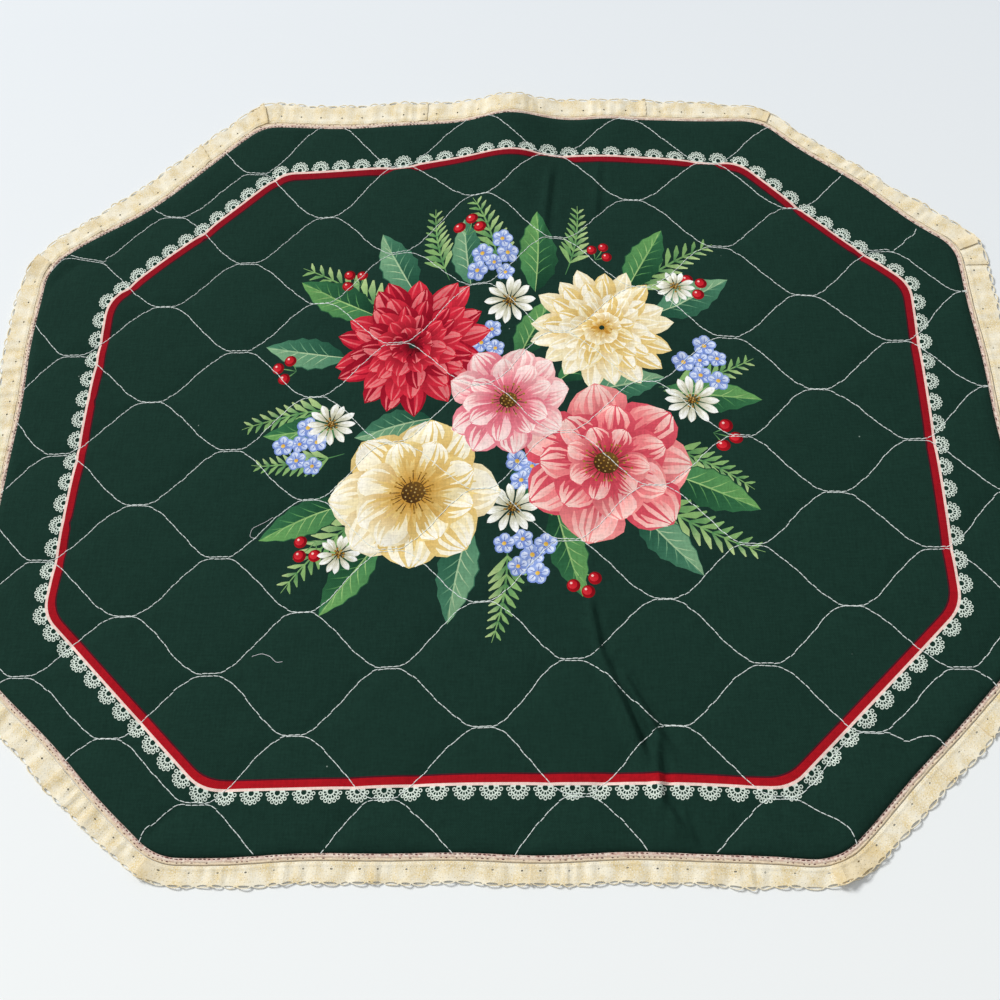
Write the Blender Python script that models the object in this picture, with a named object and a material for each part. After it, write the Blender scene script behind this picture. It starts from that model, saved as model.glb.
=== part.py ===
"""Quilted fabric placemat with a lace edge.

One octagonal quilted panel, the lace heading sewn along its edge and the gathered lace frill.
Sizes below are in millimetres and become metres where a mesh is made. +Z is up, +X runs along
the mat's length, and the origin is under the middle of the mat, on the surface it lies on.
"""
import math

import bpy

MM = 0.001

# ---- panel -----------------------------------------------------------------------------------
# The eight corners of the panel's edge before the cloth is pushed about, anticlockwise.
PANEL_CORNERS = (
    # corner, x, y, radius, bow of the edge that follows (outwards)
    ("top left", -119.0, 167.5, 22.0, -3.5),
    ("left top", -216.0, 90.5, 20.0, -0.8),
    ("left bottom", -213.5, -100.5, 22.0, 0.2),
    ("bottom left", -122.5, -181.0, 24.0, -0.6),
    ("bottom right", 127.5, -183.0, 26.0, 0.0),
    ("right bottom", 216.0, -97.5, 22.0, 1.5),
    ("right top", 212.0, 93.0, 20.0, 2.4),
    ("top right", 131.0, 171.5, 22.0, -2.0),
)
EDGE_RIPPLES = (
    # length along the edge, size, start
    (141.0, 0.55, 0.4),
    (59.0, 0.30, 2.1),
)
PANEL_BASE = 1.5        # thickness of the cloth at a line of stitches
PANEL_PUFF = 1.4        # how far the wadding lifts the cloth between two lines
PUFF_REACH = 4.5        # distance from a line in which most of the lift is gained
EDGE_STEPS = (
    # height above the underside, distance in from the edge: the turned, rounded edge
    (0.00, 0.35),
    (0.50, 0.00),
    (1.10, 0.05),
    (1.70, 0.60),
    (2.20, 1.60),
    (2.70, 3.60),
    (6.00, 14.00),
)

# ---- how the cloth lies ------------------------------------------------------------------------
# The cloth was pushed up the table (+Y) here and there when it was laid down.
PUSHES = (
    # x, y, reach along x, reach along y, distance
    (36.0, 100.0, 84.0, 376.0, 7.2),
    (2.0, 99.0, 29.0, 51.0, 6.7),
    (165.0, 124.0, 63.0, 135.0, -4.0),
    (-133.0, 193.0, 112.0, 106.0, 27.5),
    (-112.0, 138.0, 75.0, 67.0, -15.7),
    (30.0, -190.0, 42.0, 43.0, -2.0),
)
# Soft folds that lift the whole cloth off the table. Each is a ridge along a line.
FOLDS = (
    # x and y of the high end, x and y of the low end, half width, height at the high end
    (7.0, 188.0, 15.0, 94.0, 17.0, 5.0),
    (55.0, 186.0, 57.0, 122.0, 13.0, 1.6),
)
FOLD_MIN = 0.15         # a lift below this counts as lying on the table
# Low creases pressed into the top of the cloth only.
CREASES = (
    # x and y of one end, x and y of the other, half width, depth (a negative depth is a ridge)
    (42.0, -82.0, 77.0, -182.0, 5.5, 0.8),
    (35.0, -82.0, 69.0, -182.0, 6.5, -0.7),
)

# ---- quilting ----------------------------------------------------------------------------------
COLUMN_PITCH = 37.0     # from one column of meeting points to the next
COLUMN_START = -5.0
COLUMN_LEAN = -0.027    # the middle column's lean
LEAN_PER_COLUMN = 0.002
# How far each column is off its even place, from the first in COLUMN_SPAN to the last.
COLUMN_SHIFTS = (0.0, -2.5, 0.5, 1.5, 1.0, -0.5, 1.0, -0.5, 0.5, 1.0, 0.0, 0.5, -2.0)
ROW_PITCH = 25.4        # from one line of stitches to the next
ROW_START = -9.5
LINE_GAP = 1.2          # between two lines where they run side by side
LINE_OVERSHOOT = 1.1    # what the flat crests cut off the waves
COLUMN_SPAN = (-6, 6)
LINE_SPAN = (-8, 8)
STEPS_PER_COLUMN = 6
ROWS_PER_LINE = 3

# ---- lace --------------------------------------------------------------------------------------
SEAM_GAP = 0.3
HEADING_WIDTH = 2.4
HEADING_THICK = 1.1
FRILL_WIDTH = 9.6
FRILL_THICK = 1.0
SCALLOP_PITCH = 5.6
SCALLOP_RISE = 0.7
GATHER_HEIGHT = 0.9     # how high the loose edge of the frill stands over the table
GATHER_LENGTH = 14.0
JOIN_AT = 690.0         # place of the overlap of the frill's two ends, along the edge
JOIN_LENGTH = 13.0
JOIN_RISE = 0.9
CORNER_FULLNESS = 0.5   # extra height of the frill where it is gathered round a corner


def clear_scene():
    for item in list(bpy.data.objects):
        bpy.data.objects.remove(item, do_unlink=True)


def material(name, colour, roughness):
    made = bpy.data.materials.new(name)
    made.use_nodes = True
    shader = made.node_tree.nodes["Principled BSDF"]
    shader.inputs["Base Color"].default_value = (*colour, 1.0)
    shader.inputs["Roughness"].default_value = roughness
    shader.inputs["Metallic"].default_value = 0.0
    return made


def object_from(name, points, faces, finish=None):
    """Make an object from points in millimetres."""
    mesh = bpy.data.meshes.new(name)
    mesh.from_pydata([(x * MM, y * MM, z * MM) for x, y, z in points], [], faces)
    mesh.validate()
    made = bpy.data.objects.new(name, mesh)
    if finish:
        mesh.materials.append(finish)
    bpy.context.scene.collection.objects.link(made)
    return made


def bell(distance, reach):
    return math.exp(-(distance / reach) ** 2)


def smooth(value):
    value = min(max(value, 0.0), 1.0)
    return value * value * (3.0 - 2.0 * value)


# ---- how the cloth lies ------------------------------------------------------------------------

def laid(x, y):
    """Where a point of the flat cloth ends up on the table."""
    push = sum(far * bell(x - px, rx) * bell(y - py, ry) for px, py, rx, ry, far in PUSHES)
    return x, y + push


def along_line(x, y, x0, y0, x1, y1):
    """The share of the way from one end of a line to the other, and the distance beside it."""
    dx, dy = x1 - x0, y1 - y0
    length = math.hypot(dx, dy)
    share = ((x - x0) * dx + (y - y0) * dy) / length ** 2
    beside = ((x - x0) * dy - (y - y0) * dx) / length
    return share, beside


def lift(x, y):
    """Height of the cloth's underside over the table at a place on the table."""
    height = 0.0
    for x0, y0, x1, y1, half, rise in FOLDS:
        share, beside = along_line(x, y, x0, y0, x1, y1)
        height += rise * bell(beside, half) * smooth(1.0 - share)
    return max(height - FOLD_MIN, 0.0)


def crease(x, y):
    """How deep the top is pressed in at a place."""
    depth = 0.0
    for x0, y0, x1, y1, half, deep in CREASES:
        share, beside = along_line(x, y, x0, y0, x1, y1)
        depth += deep * bell(beside, half) * smooth(share * 3.0) * smooth(4.0 - 3.0 * share)
    return depth


# ---- the panel's edge --------------------------------------------------------------------------

def edge_stretches():
    """The straight and round stretches of the edge as (length, function of the distance along it).

    Each function gives the place and the outward normal, with the edge run anticlockwise.
    """
    count = len(PANEL_CORNERS)
    ends = []
    for i in range(count):
        _, x, y, radius, _ = PANEL_CORNERS[i]
        _, xa, ya, _, _ = PANEL_CORNERS[i - 1]
        _, xb, yb, _, _ = PANEL_CORNERS[(i + 1) % count]
        way_in = math.atan2(y - ya, x - xa)
        way_out = math.atan2(yb - y, xb - x)
        turn = (way_out - way_in) % (2.0 * math.pi)
        cut = radius * math.tan(turn / 2.0)
        start = (x - cut * math.cos(way_in), y - cut * math.sin(way_in))
        end = (x + cut * math.cos(way_out), y + cut * math.sin(way_out))
        ends.append((start, end, way_in, turn, radius))

    def round_stretch(start, way_in, radius):
        centre = (start[0] - radius * math.sin(way_in), start[1] + radius * math.cos(way_in))

        def at(distance):
            angle = way_in - math.pi / 2.0 + distance / radius
            normal = (math.cos(angle), math.sin(angle))
            return centre[0] + radius * normal[0], centre[1] + radius * normal[1], *normal
        return at

    def straight_stretch(start, end, bow):
        length = math.dist(start, end)
        along = ((end[0] - start[0]) / length, (end[1] - start[1]) / length)
        normal = (along[1], -along[0])

        def at(distance):
            out = bow * math.sin(math.pi * distance / length) ** 2
            return (start[0] + along[0] * distance + normal[0] * out,
                    start[1] + along[1] * distance + normal[1] * out, *normal)
        return at

    stretches = []
    for i in range(count):
        start, end, way_in, turn, radius = ends[i]
        following = ends[(i + 1) % count][0]
        bow = PANEL_CORNERS[i][4]
        stretches.append((turn * radius, round_stretch(start, way_in, radius)))
        stretches.append((math.dist(end, following), straight_stretch(end, following, bow)))
    return stretches


STRETCHES = edge_stretches()
EDGE_LENGTH = sum(length for length, _ in STRETCHES)


def ripple(distance):
    """How far the edge wanders outwards; each wave fits a whole number of times."""
    total = 0.0
    for length, size, start in EDGE_RIPPLES:
        times = round(EDGE_LENGTH / length)
        total += size * math.sin(2.0 * math.pi * times * distance / EDGE_LENGTH + start)
    return total


def edge_point(distance, outward):
    """Place on the table of a point beside the edge, measured along it and outwards from it."""
    rest = distance % EDGE_LENGTH
    for length, at in STRETCHES:
        if rest <= length:
            break
        rest -= length
    x, y, nx, ny = at(min(rest, length))
    out = outward + ripple(distance)
    return laid(x + nx * out, y + ny * out)


def corner_share(distance):
    """One in the middle of a round corner and nothing along a straight stretch."""
    rest = distance % EDGE_LENGTH
    for number, (length, _) in enumerate(STRETCHES):
        if rest <= length:
            break
        rest -= length
    return math.sin(math.pi * min(rest / length, 1.0)) if number % 2 == 0 else 0.0


# ---- quilting ----------------------------------------------------------------------------------

def line_height(line, column):
    """Row of a quilting line at a column: a wave with flat crests that just miss its neighbour."""
    side = 1.0 if line % 2 == 0 else -1.0
    crest = 0.5 - LINE_GAP / (2.0 * ROW_PITCH)
    wave = (0.5 + LINE_OVERSHOOT / (2.0 * ROW_PITCH)) * math.cos(math.pi * column)
    return line + 0.5 + side * min(max(wave, -crest), crest)


def column_shift(column):
    """How far the pattern is off its even place at a column or between two."""
    left = min(int(column - COLUMN_SPAN[0]), len(COLUMN_SHIFTS) - 2)
    share = column - COLUMN_SPAN[0] - left
    return COLUMN_SHIFTS[left] * (1.0 - share) + COLUMN_SHIFTS[left + 1] * share


def quilt_place(column, row):
    """Place on the table of a point of the quilting pattern."""
    y = ROW_START + ROW_PITCH * row
    lean = COLUMN_LEAN + LEAN_PER_COLUMN * column
    x = COLUMN_START + COLUMN_PITCH * column + column_shift(column) + lean * y
    return laid(x, y)


def quilt_top():
    """Grid of the panel's top, a little larger than the panel, with rows along the stitches."""
    first, last = LINE_SPAN
    columns = (COLUMN_SPAN[1] - COLUMN_SPAN[0]) * STEPS_PER_COLUMN
    rows = (last - first) * ROWS_PER_LINE
    grid = []
    for i in range(rows + 1):
        line, part = divmod(i, ROWS_PER_LINE)
        share = part / ROWS_PER_LINE
        points = []
        for j in range(columns + 1):
            column = COLUMN_SPAN[0] + j / STEPS_PER_COLUMN
            below = line_height(first + line, column)
            above = line_height(first + line + 1, column)
            gap = (above - below) * ROW_PITCH
            beside = gap * min(share, 1.0 - share)
            puff = PANEL_PUFF * (1.0 - math.exp(-beside / PUFF_REACH))
            x, y = quilt_place(column, below + (above - below) * share)
            points.append((x, y, lift(x, y) + PANEL_BASE + puff - crease(x, y)))
        grid.append(points)
    return grid


def slab_under(grid, depth):
    """Points and faces of a closed slab with the grid as its top and a flat underside."""
    rows, columns = len(grid), len(grid[0])
    points = [point for row in grid for point in row]
    faces = []
    for i in range(rows - 1):
        for j in range(columns - 1):
            corner = i * columns + j
            faces.append((corner, corner + 1, corner + columns + 1, corner + columns))
    rim = [j for j in range(columns)]
    rim += [i * columns + columns - 1 for i in range(1, rows)]
    rim += [(rows - 1) * columns + j for j in range(columns - 2, -1, -1)]
    rim += [i * columns for i in range(rows - 2, 0, -1)]
    low = len(points)
    points += [(points[k][0], points[k][1], depth) for k in rim]
    for k in range(len(rim)):
        after = (k + 1) % len(rim)
        faces.append((rim[after], rim[k], low + k, low + after))
    faces.append(tuple(range(low + len(rim) - 1, low - 1, -1)))
    return points, faces


def rounded_envelope():
    """Closed shape of the panel's outline with its turned edge, open to the sky above the quilting."""
    count = 240
    top = 40.0
    rings = [(height, inward) for height, inward in EDGE_STEPS]
    points = []
    for height, inward in rings:
        for k in range(count):
            x, y = edge_point(EDGE_LENGTH * k / count, -inward)
            points.append((x, y, lift(x, y) * (height > 0.0) + height))
    for k in range(count):
        x, y = edge_point(EDGE_LENGTH * k / count, -EDGE_STEPS[-1][1])
        points.append((x, y, top))
    faces = [tuple(range(count - 1, -1, -1))]
    for ring in range(len(rings)):
        for k in range(count):
            after = (k + 1) % count
            low, high = ring * count, (ring + 1) * count
            faces.append((low + k, low + after, high + after, high + k))
    faces.append(tuple(range(len(rings) * count, (len(rings) + 1) * count)))
    return points, faces


def hollow_under_folds():
    """Closed shape of the air between the table and the lifted cloth, sunk where the cloth lies."""
    x0, x1, y0, y1, step = -40.0, 92.0, 80.0, 200.0, 6.0
    grid = []
    for i in range(int((y1 - y0) / step) + 1):
        y = y0 + i * step
        row = []
        for j in range(int((x1 - x0) / step) + 1):
            x = x0 + j * step
            row.append((x, y, lift(x, y) - FOLD_MIN))
        grid.append(row)
    return slab_under(grid, -3.0)


def cut_with(target, cutter, operation):
    cutter.hide_render = True
    cutter.display_type = "WIRE"
    step = target.modifiers.new(cutter.name, "BOOLEAN")
    step.operation = operation
    step.solver = "EXACT"
    step.object = cutter


def make_panel():
    cloth = material("bottle_green_cotton", (0.012, 0.038, 0.029), 0.9)
    panel = object_from("quilted_panel", *slab_under(quilt_top(), -5.0), cloth)
    cut_with(panel, object_from("panel_outline", *rounded_envelope()), "INTERSECT")
    cut_with(panel, object_from("fold_hollow", *hollow_under_folds()), "DIFFERENCE")
    for face in panel.data.polygons:
        face.use_smooth = True
    return panel


# ---- lace --------------------------------------------------------------------------------------

def ring_of(sections):
    """Points and faces of a closed ring swept through four-cornered sections."""
    points = [corner for section in sections for corner in section]
    size = len(sections[0])
    faces = []
    for k in range(len(sections)):
        here, after = k * size, (k + 1) % len(sections) * size
        for side in range(size):
            beside = (side + 1) % size
            faces.append((here + side, here + beside, after + beside, after + side))
    return points, faces


def make_heading():
    """Flat woven strip along the seam."""
    ribbon = material("cream_pink_ribbon", (0.72, 0.54, 0.45), 0.85)
    count = 200
    sections = []
    for k in range(count):
        distance = EDGE_LENGTH * k / count
        x0, y0 = edge_point(distance, SEAM_GAP)
        x1, y1 = edge_point(distance, SEAM_GAP + HEADING_WIDTH)
        low0, low1 = lift(x0, y0), lift(x1, y1)
        sections.append(((x0, y0, low0), (x0, y0, low0 + HEADING_THICK),
                         (x1, y1, low1 + HEADING_THICK), (x1, y1, low1)))
    return object_from("lace_heading", *ring_of(sections), ribbon)


def gather(distance):
    """Height of the frill's loose edge over the table, from none to the full gather height."""
    waves = round(EDGE_LENGTH / GATHER_LENGTH)
    slow = math.sin(2.0 * math.pi * 9 * distance / EDGE_LENGTH)
    turn = 2.0 * math.pi * waves * distance / EDGE_LENGTH
    full = GATHER_HEIGHT + CORNER_FULLNESS * corner_share(distance)
    return full * (0.5 + 0.5 * math.sin(turn + 1.6 * slow))


def make_frill():
    """Gathered lace round the heading, with a scalloped loose edge and a lapped join."""
    lace = material("ecru_lace", (0.80, 0.68, 0.46), 0.9)
    scallops = round(EDGE_LENGTH / SCALLOP_PITCH)
    inner = SEAM_GAP + HEADING_WIDTH + SEAM_GAP
    sections = []
    for k in range(2 * scallops):
        distance = EDGE_LENGTH * k / (2 * scallops)
        reach = inner + FRILL_WIDTH + (SCALLOP_RISE if k % 2 else 0.0)
        x0, y0 = edge_point(distance, inner)
        x1, y1 = edge_point(distance, reach)
        low0, low1 = lift(x0, y0), lift(x1, y1) + gather(distance)
        lap = JOIN_RISE * smooth(1.6 - abs(distance - JOIN_AT) / (JOIN_LENGTH / 2.0))
        high = FRILL_THICK + lap
        sections.append(((x0, y0, low0), (x0, y0, low0 + high),
                         (x1, y1, low1 + high), (x1, y1, low1)))
    return object_from("lace_frill", *ring_of(sections), lace)


def main():
    clear_scene()
    make_panel()
    make_heading()
    make_frill()


main()
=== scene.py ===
"""Looks of a quilted fabric placemat: printed cotton, quilting, lace heading and lace frill.

Sizes are in millimetres and become metres where a mesh is made. The flat cloth is pushed about a
little where it lies on the table, so the print is drawn flat and then laid with the cloth.
"""
import math
import random

import bmesh
import bpy
import numpy as np
from mathutils import Matrix, Vector
from mathutils.bvhtree import BVHTree
from mathutils.geometry import delaunay_2d_cdt
from mathutils.kdtree import KDTree


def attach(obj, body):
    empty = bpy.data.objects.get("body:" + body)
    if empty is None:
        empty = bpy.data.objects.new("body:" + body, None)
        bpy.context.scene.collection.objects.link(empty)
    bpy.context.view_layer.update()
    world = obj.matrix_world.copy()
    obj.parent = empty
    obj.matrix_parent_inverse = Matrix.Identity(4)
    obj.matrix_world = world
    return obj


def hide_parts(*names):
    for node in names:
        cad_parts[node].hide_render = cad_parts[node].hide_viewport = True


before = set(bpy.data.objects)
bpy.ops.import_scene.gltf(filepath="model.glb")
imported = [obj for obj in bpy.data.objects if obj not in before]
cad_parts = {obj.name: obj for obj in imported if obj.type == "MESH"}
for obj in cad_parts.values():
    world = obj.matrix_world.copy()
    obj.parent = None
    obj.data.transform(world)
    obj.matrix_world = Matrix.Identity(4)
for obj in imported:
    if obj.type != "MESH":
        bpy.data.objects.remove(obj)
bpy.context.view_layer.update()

MM = 0.001

# ---- the cloth's shape: the same tables as the solids ------------------------------------------
PANEL_CORNERS = (
    # corner, x, y, radius, bow of the edge that follows (outwards)
    ("top left", -119.0, 167.5, 22.0, -3.5),
    ("left top", -216.0, 90.5, 20.0, -0.8),
    ("left bottom", -213.5, -100.5, 22.0, 0.2),
    ("bottom left", -122.5, -181.0, 24.0, -0.6),
    ("bottom right", 127.5, -183.0, 26.0, 0.0),
    ("right bottom", 216.0, -97.5, 22.0, 1.5),
    ("right top", 212.0, 93.0, 20.0, 2.4),
    ("top right", 131.0, 171.5, 22.0, -2.0),
)
EDGE_RIPPLES = (
    # length along the edge, size, start
    (141.0, 0.55, 0.4),
    (59.0, 0.30, 2.1),
)
PANEL_BASE = 1.5        # thickness of the cloth at a line of stitches
PANEL_PUFF = 1.4        # how far the wadding lifts the cloth between two lines
PUFF_REACH = 4.5        # distance from a line in which most of the lift is gained
EDGE_STEPS = (
    # height above the underside, distance in from the edge: the turned, rounded edge
    (0.00, 0.35),
    (0.50, 0.00),
    (1.10, 0.05),
    (1.70, 0.60),
    (2.20, 1.60),
    (2.70, 3.60),
    (6.00, 14.00),
)
TOP_STEP = 4            # the step at which the printed top begins
PUSHES = (
    # x, y, reach along x, reach along y, distance up the table
    (36.0, 100.0, 84.0, 376.0, 7.2),
    (2.0, 99.0, 29.0, 51.0, 6.7),
    (165.0, 124.0, 63.0, 135.0, -4.0),
    (-133.0, 193.0, 112.0, 106.0, 27.5),
    (-112.0, 138.0, 75.0, 67.0, -15.7),
    (30.0, -190.0, 42.0, 43.0, -2.0),
)
FOLDS = (
    # x and y of the high end, x and y of the low end, half width, height at the high end
    (7.0, 188.0, 15.0, 94.0, 17.0, 5.0),
    (55.0, 186.0, 57.0, 122.0, 13.0, 1.6),
)
FOLD_MIN = 0.15         # a fold lower than this leaves the cloth on the table
CREASES = (
    # x and y of the upper end, x and y of the lower one, half width, size: each is a small step
    # with a ridge on its left and a dip on its right
    (42.0, -79.0, 46.0, -101.0, 2.0, 1.2),
    (45.0, -99.0, 60.0, -139.0, 2.6, 2.1),
    (51.0, -107.0, 68.0, -136.0, 2.6, 1.8),
    (66.0, -133.0, 67.0, -160.0, 2.4, 1.5),
    (67.0, -158.0, 78.0, -180.0, 2.4, 1.7),
    (73.0, -161.0, 80.0, -180.0, 1.8, 1.0),
    (29.5, 150.0, 25.5, 108.0, 2.4, 0.8),
    (52.5, 151.0, 50.5, 120.0, 2.2, 0.5),
)
CREASE_PEAK = 2.33      # brings the step's highest place to its size
CREASE_RIDGE = 0.45     # how much of its size the middle of a crease stands up
CREASE_RIDGE_WIDTH = 1.6
LEAST_THICK = 0.4       # thickness of the cloth in the dip of a crease

# ---- quilting ----------------------------------------------------------------------------------
COLUMN_PITCH = 37.0     # half a repeat: the lines meet at each column in turn
COLUMN_START = -5.0     # x of column 0
COLUMN_LEAN = -0.027    # its lean to the right for each millimetre up the table
LEAN_PER_COLUMN = 0.002
# How far each column is off its even place, from the first in COLUMN_SPAN to the last.
COLUMN_SHIFTS = (0.0, -2.5, 0.5, 1.5, 1.0, -0.5, 1.0, -0.5, 0.5, 1.0, 0.0, 0.5, -2.0)
ROW_PITCH = 25.4
ROW_START = -9.5        # y of row 0
WIDE_GAP = 1.0          # between two lines where they meet in an odd column
CLOSE_GAP = 0.4         # the same in an even column
LINE_OVERSHOOT = 1.1    # how far two lines would lap where they meet, were their crests not flat
COLUMN_SPAN = (-6, 6)
LINE_SPAN = (-8, 8)
LINE_WOBBLE = (
    # size in rows, radians for each column, radians for each line
    (0.012, 7.3, 2.1), (0.008, 19.0, 4.7), (0.008, 43.0, 1.3), (0.005, 67.0, 5.1),
)
STITCH_LENGTH = 2.35
STITCH_GAP = 0.12
STITCH_THICK = 0.37
STITCH_OVER = 0.04      # height of a row of stitches over the cloth
STRAYS = (
    # places on the table along each end of a line of quilting that strays from the pattern
    ((151.1, -135.7), (155.2, -137.6), (158.2, -139.5), (162.9, -137.7), (167.3, -137.3),
     (169.9, -138.4), (171.5, -140.2)),
    ((117.5, -161.4), (123.0, -164.9), (129.6, -168.1), (133.5, -171.3), (135.0, -175.3)),
    ((-115.8, -161.6), (-120.3, -165.0), (-124.8, -169.6), (-127.2, -170.5), (-128.2, -172.5),
     (-128.9, -174.9)),
    ((183.7, 88.1), (187.2, 90.7), (189.8, 92.8), (191.2, 95.1), (195.4, 97.6), (196.2, 99.8)),
    ((-188.4, 97.3), (-192.2, 98.4), (-198.4, 99.5), (-202.5, 100.7), (-204.8, 101.6)),
    ((-181.0, 88.8), (-188.2, 96.2), (-192.0, 97.3), (-198.2, 98.6), (-204.4, 100.0),
     (-208.5, 99.6), (-211.2, 96.7), (-213.3, 93.4)),
)
LOOSE_THREADS = (
    # places along a thread that lies loose on the cloth
    ((-91.5, -41.6), (-94.5, -43.9), (-99.9, -46.9), (-100.7, -50.8), (-97.6, -51.5)),
    ((-93.8, -103.5), (-90.0, -102.4), (-86.4, -103.6), (-83.6, -106.4), (-81.0, -106.0)),
)
LOOSE_THICK = 0.2
LOOSE_OVER = 0.12       # height of its middle over the cloth

# ---- print -------------------------------------------------------------------------------------
BAND_CORNERS = (
    # corners of the middle of the red band, anticlockwise from the top right
    (118.0, 141.5), (-106.0, 140.5), (-180.0, 68.5), (-181.0, -84.0),
    (-107.0, -155.0), (113.0, -156.5), (184.5, -85.5), (187.0, 71.0),
)
BAND_ROUND = 7.5        # how far from a corner the band starts to turn
TUCKS = (
    # place of a tuck that swallows some of the red, half its length, how much of the red stays
    (-46.0, 140.7, 6.0, 0.0), (28.5, 141.1, 8.0, 0.0), (104.5, 141.4, 8.5, 0.0),
    (-141.0, 106.5, 2.0, 0.5), (-172.5, 75.8, 2.0, 0.5), (142.0, 116.8, 2.5, 0.3),
    (168.0, 90.4, 2.2, 0.4), (186.4, 40.4, 2.0, 0.6), (185.6, -11.0, 1.8, 0.7),
    (-180.3, 17.5, 2.0, 0.6), (-180.6, -42.5, 2.0, 0.6),
)
TUCK_LEFT = 1.2         # offset to which a whole tuck moves the lines that lie further in
TUCK_IN = 0.5           # how far a whole tuck draws all lines in
GROUND = "#1A342B"
LACE_WHITE = "#DDE8DA"
BAND_RINGS = (
    # offset of the outer edge from the middle of the red, colour at the bottom, at the top
    (2.5, "#F6D8CC", "#EECABE"),
    (1.45, "#AC1620", "#8A1320"),
    (-1.45, "#511723", "#42161F"),
    (-2.05, GROUND, GROUND),
)
BAND_SHADING = ((0.0, -160.0), (0.0, 150.0))    # the places between which the colours change
ROSETTES_PER_SIDE = (22, 11, 15, 11, 22, 10, 15, 10)    # anticlockwise from the top side
ROSETTE_OUT = 3.3       # offset of a rosette's centre
ROSETTE_SIZE = 3.0      # radius of its body
ROSETTE_HEART = 1.08    # radius of its heart
CORNER_ROSETTE_IN = 1.4     # how far a corner's rosette is moved in
PICOTS = (8.0, 37.0, 64.0, 90.0, 116.0, 143.0, 172.0)     # directions in degrees
PICOT_OUT = 3.75        # distance from the rosette's centre
PICOT_SIZE = 0.78       # radius of a picot
PICOT_HOLE = 0.44       # radius of its hole
SLOTS = (-84.0, -56.0, -28.0, 0.0, 28.0, 56.0, 84.0)      # directions of the body's slots
# Outline of a slot that points along +X from the rosette's centre.
SLOT = ((1.55, -0.26), (2.5, -0.42), (2.56, 0.0), (2.5, 0.42), (1.55, 0.26))

# ---- lace --------------------------------------------------------------------------------------
HEADING_STEPS = 700     # sections of the heading round the mat
HEADING_PROFILE = (
    # distance out from the panel's edge, height: two rolled ribs with a groove after each
    (0.03, 0.00), (0.03, 0.55), (0.26, 0.84), (0.56, 0.68), (0.86, 0.90), (1.22, 1.02),
    (1.58, 0.90), (1.90, 0.62), (2.16, 0.84), (2.45, 0.80), (2.70, 0.45), (2.70, 0.00),
)
HEADING_WANDER = (
    # how far a row wanders, radians for each millimetre, radians for each row
    (0.07, 1.9, 1.0), (0.05, 0.61, 2.0),
)
HEADING_WANDERING = (0.3, 2.65)     # distances out between which the rows wander
HEADING_SWELL = (0.12, 2.7, 1.3)    # the same three values for a row's height, as a share of it
DASH_ROWS = (
    # distance out, height, length, gap, share that shows, seed, start and end along the edge
    (0.52, 0.76, 1.25, 0.55, 0.84, 3, 1235.0, 2165.0),
    (1.88, 0.70, 0.85, 1.05, 0.52, 8, 1260.0, 2165.0),
    (0.60, 0.78, 1.90, 2.60, 0.85, 4, 813.0, 1112.0),
)
DASH_THICK = 0.42
FRILL_START = 3.0       # distance out from the panel's edge
FRILL_WIDTH = 8.8       # of the net without its scallops
FRILL_STEPS = 2800      # sections of the draped frill round the mat
FRILL_ROWS = 9          # places across it in a section
REPEAT = 10.6           # length of one repeat of the lace, which is two scallops
PICOT_RISE = 0.9        # how far a scallop stands out in its middle
LACE_THICK = 0.35
LACE_HOLES = (
    # place along the repeat, place from the heading, half width, half height
    (2.65, 3.05, 0.50, 0.42), (2.65, 8.82, 1.90, 0.52), (7.95, 8.82, 1.90, 0.52),
)
PINHOLE = 0.12          # radius
PINHOLES = (
    # place along the repeat, place from the heading
    (0.7, 0.6), (1.9, 0.6), (3.4, 0.6), (4.6, 0.6), (6.1, 0.6), (7.3, 0.6), (8.6, 0.6), (9.8, 0.6),
    (1.2, 2.0), (2.65, 2.1), (4.1, 2.0), (6.6, 2.2), (7.95, 1.7), (9.3, 2.2), (1.6, 3.1),
    (3.7, 3.1), (7.95, 3.0), (1.0, 4.1), (2.65, 4.1), (4.3, 4.1), (6.5, 4.7), (7.95, 4.3),
    (9.4, 4.7), (2.65, 5.1), (7.95, 5.6), (1.7, 6.0), (3.6, 6.0), (0.5, 7.0), (4.8, 7.0),
    (5.8, 7.1), (10.1, 7.1), (2.65, 7.1), (7.95, 7.0),
)
LACE_REACH = (
    # place along the edge, how much further than its even width the lace lies there
    (0.0, 0.8), (20.0, -0.8), (48.0, 1.4), (80.0, 1.8), (100.0, -0.2), (128.0, -0.5),
    (146.0, 0.6), (200.0, 0.2), (350.0, -0.2), (385.0, 0.3), (415.0, -1.4), (445.0, -2.2),
    (490.0, -1.2), (560.0, -1.7), (640.0, -1.6), (660.0, -0.6), (688.0, -3.0), (715.0, -1.3),
    (740.0, -0.7), (800.0, -1.0), (900.0, 0.0), (976.0, 1.2), (1000.0, 0.2), (1028.0, 0.0),
    (1045.0, -3.0), (1100.0, -3.4), (1120.0, -2.2), (1138.0, 0.3), (1170.0, 1.2), (1290.0, 1.6),
    (1335.0, 0.3),
)
REACH_WAVES = (
    # size, radians for each millimetre, start of the small waves in the lace's width
    (0.3, 0.21, 0.0), (0.2, 0.083, 1.0),
)
LACE_BASE = 0.32        # height of the middle of the net beside the heading
LACE_LOWEST = 0.22      # least height of the middle of the net over the table
GATHER_LENGTH = 14.0
GATHER_HEIGHT = 0.8
GATHER_DRIFT = (1.6, 9)     # size in radians and times round the mat of the waves' unevenness
CORNER_FULLNESS = 0.5   # how much higher the waves are at a corner
PUCKER_LENGTH = 6.1
PUCKER_HEIGHT = 0.26
PUCKER_DRIFTS = ((2.4, 23.0), (1.7, 41.0))      # the same two values for the puckers
JOIN_AT = 690.0         # place of the overlap of the frill's two ends, along the edge
JOIN_LENGTH = 13.0
JOIN_RISE = 0.8
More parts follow.
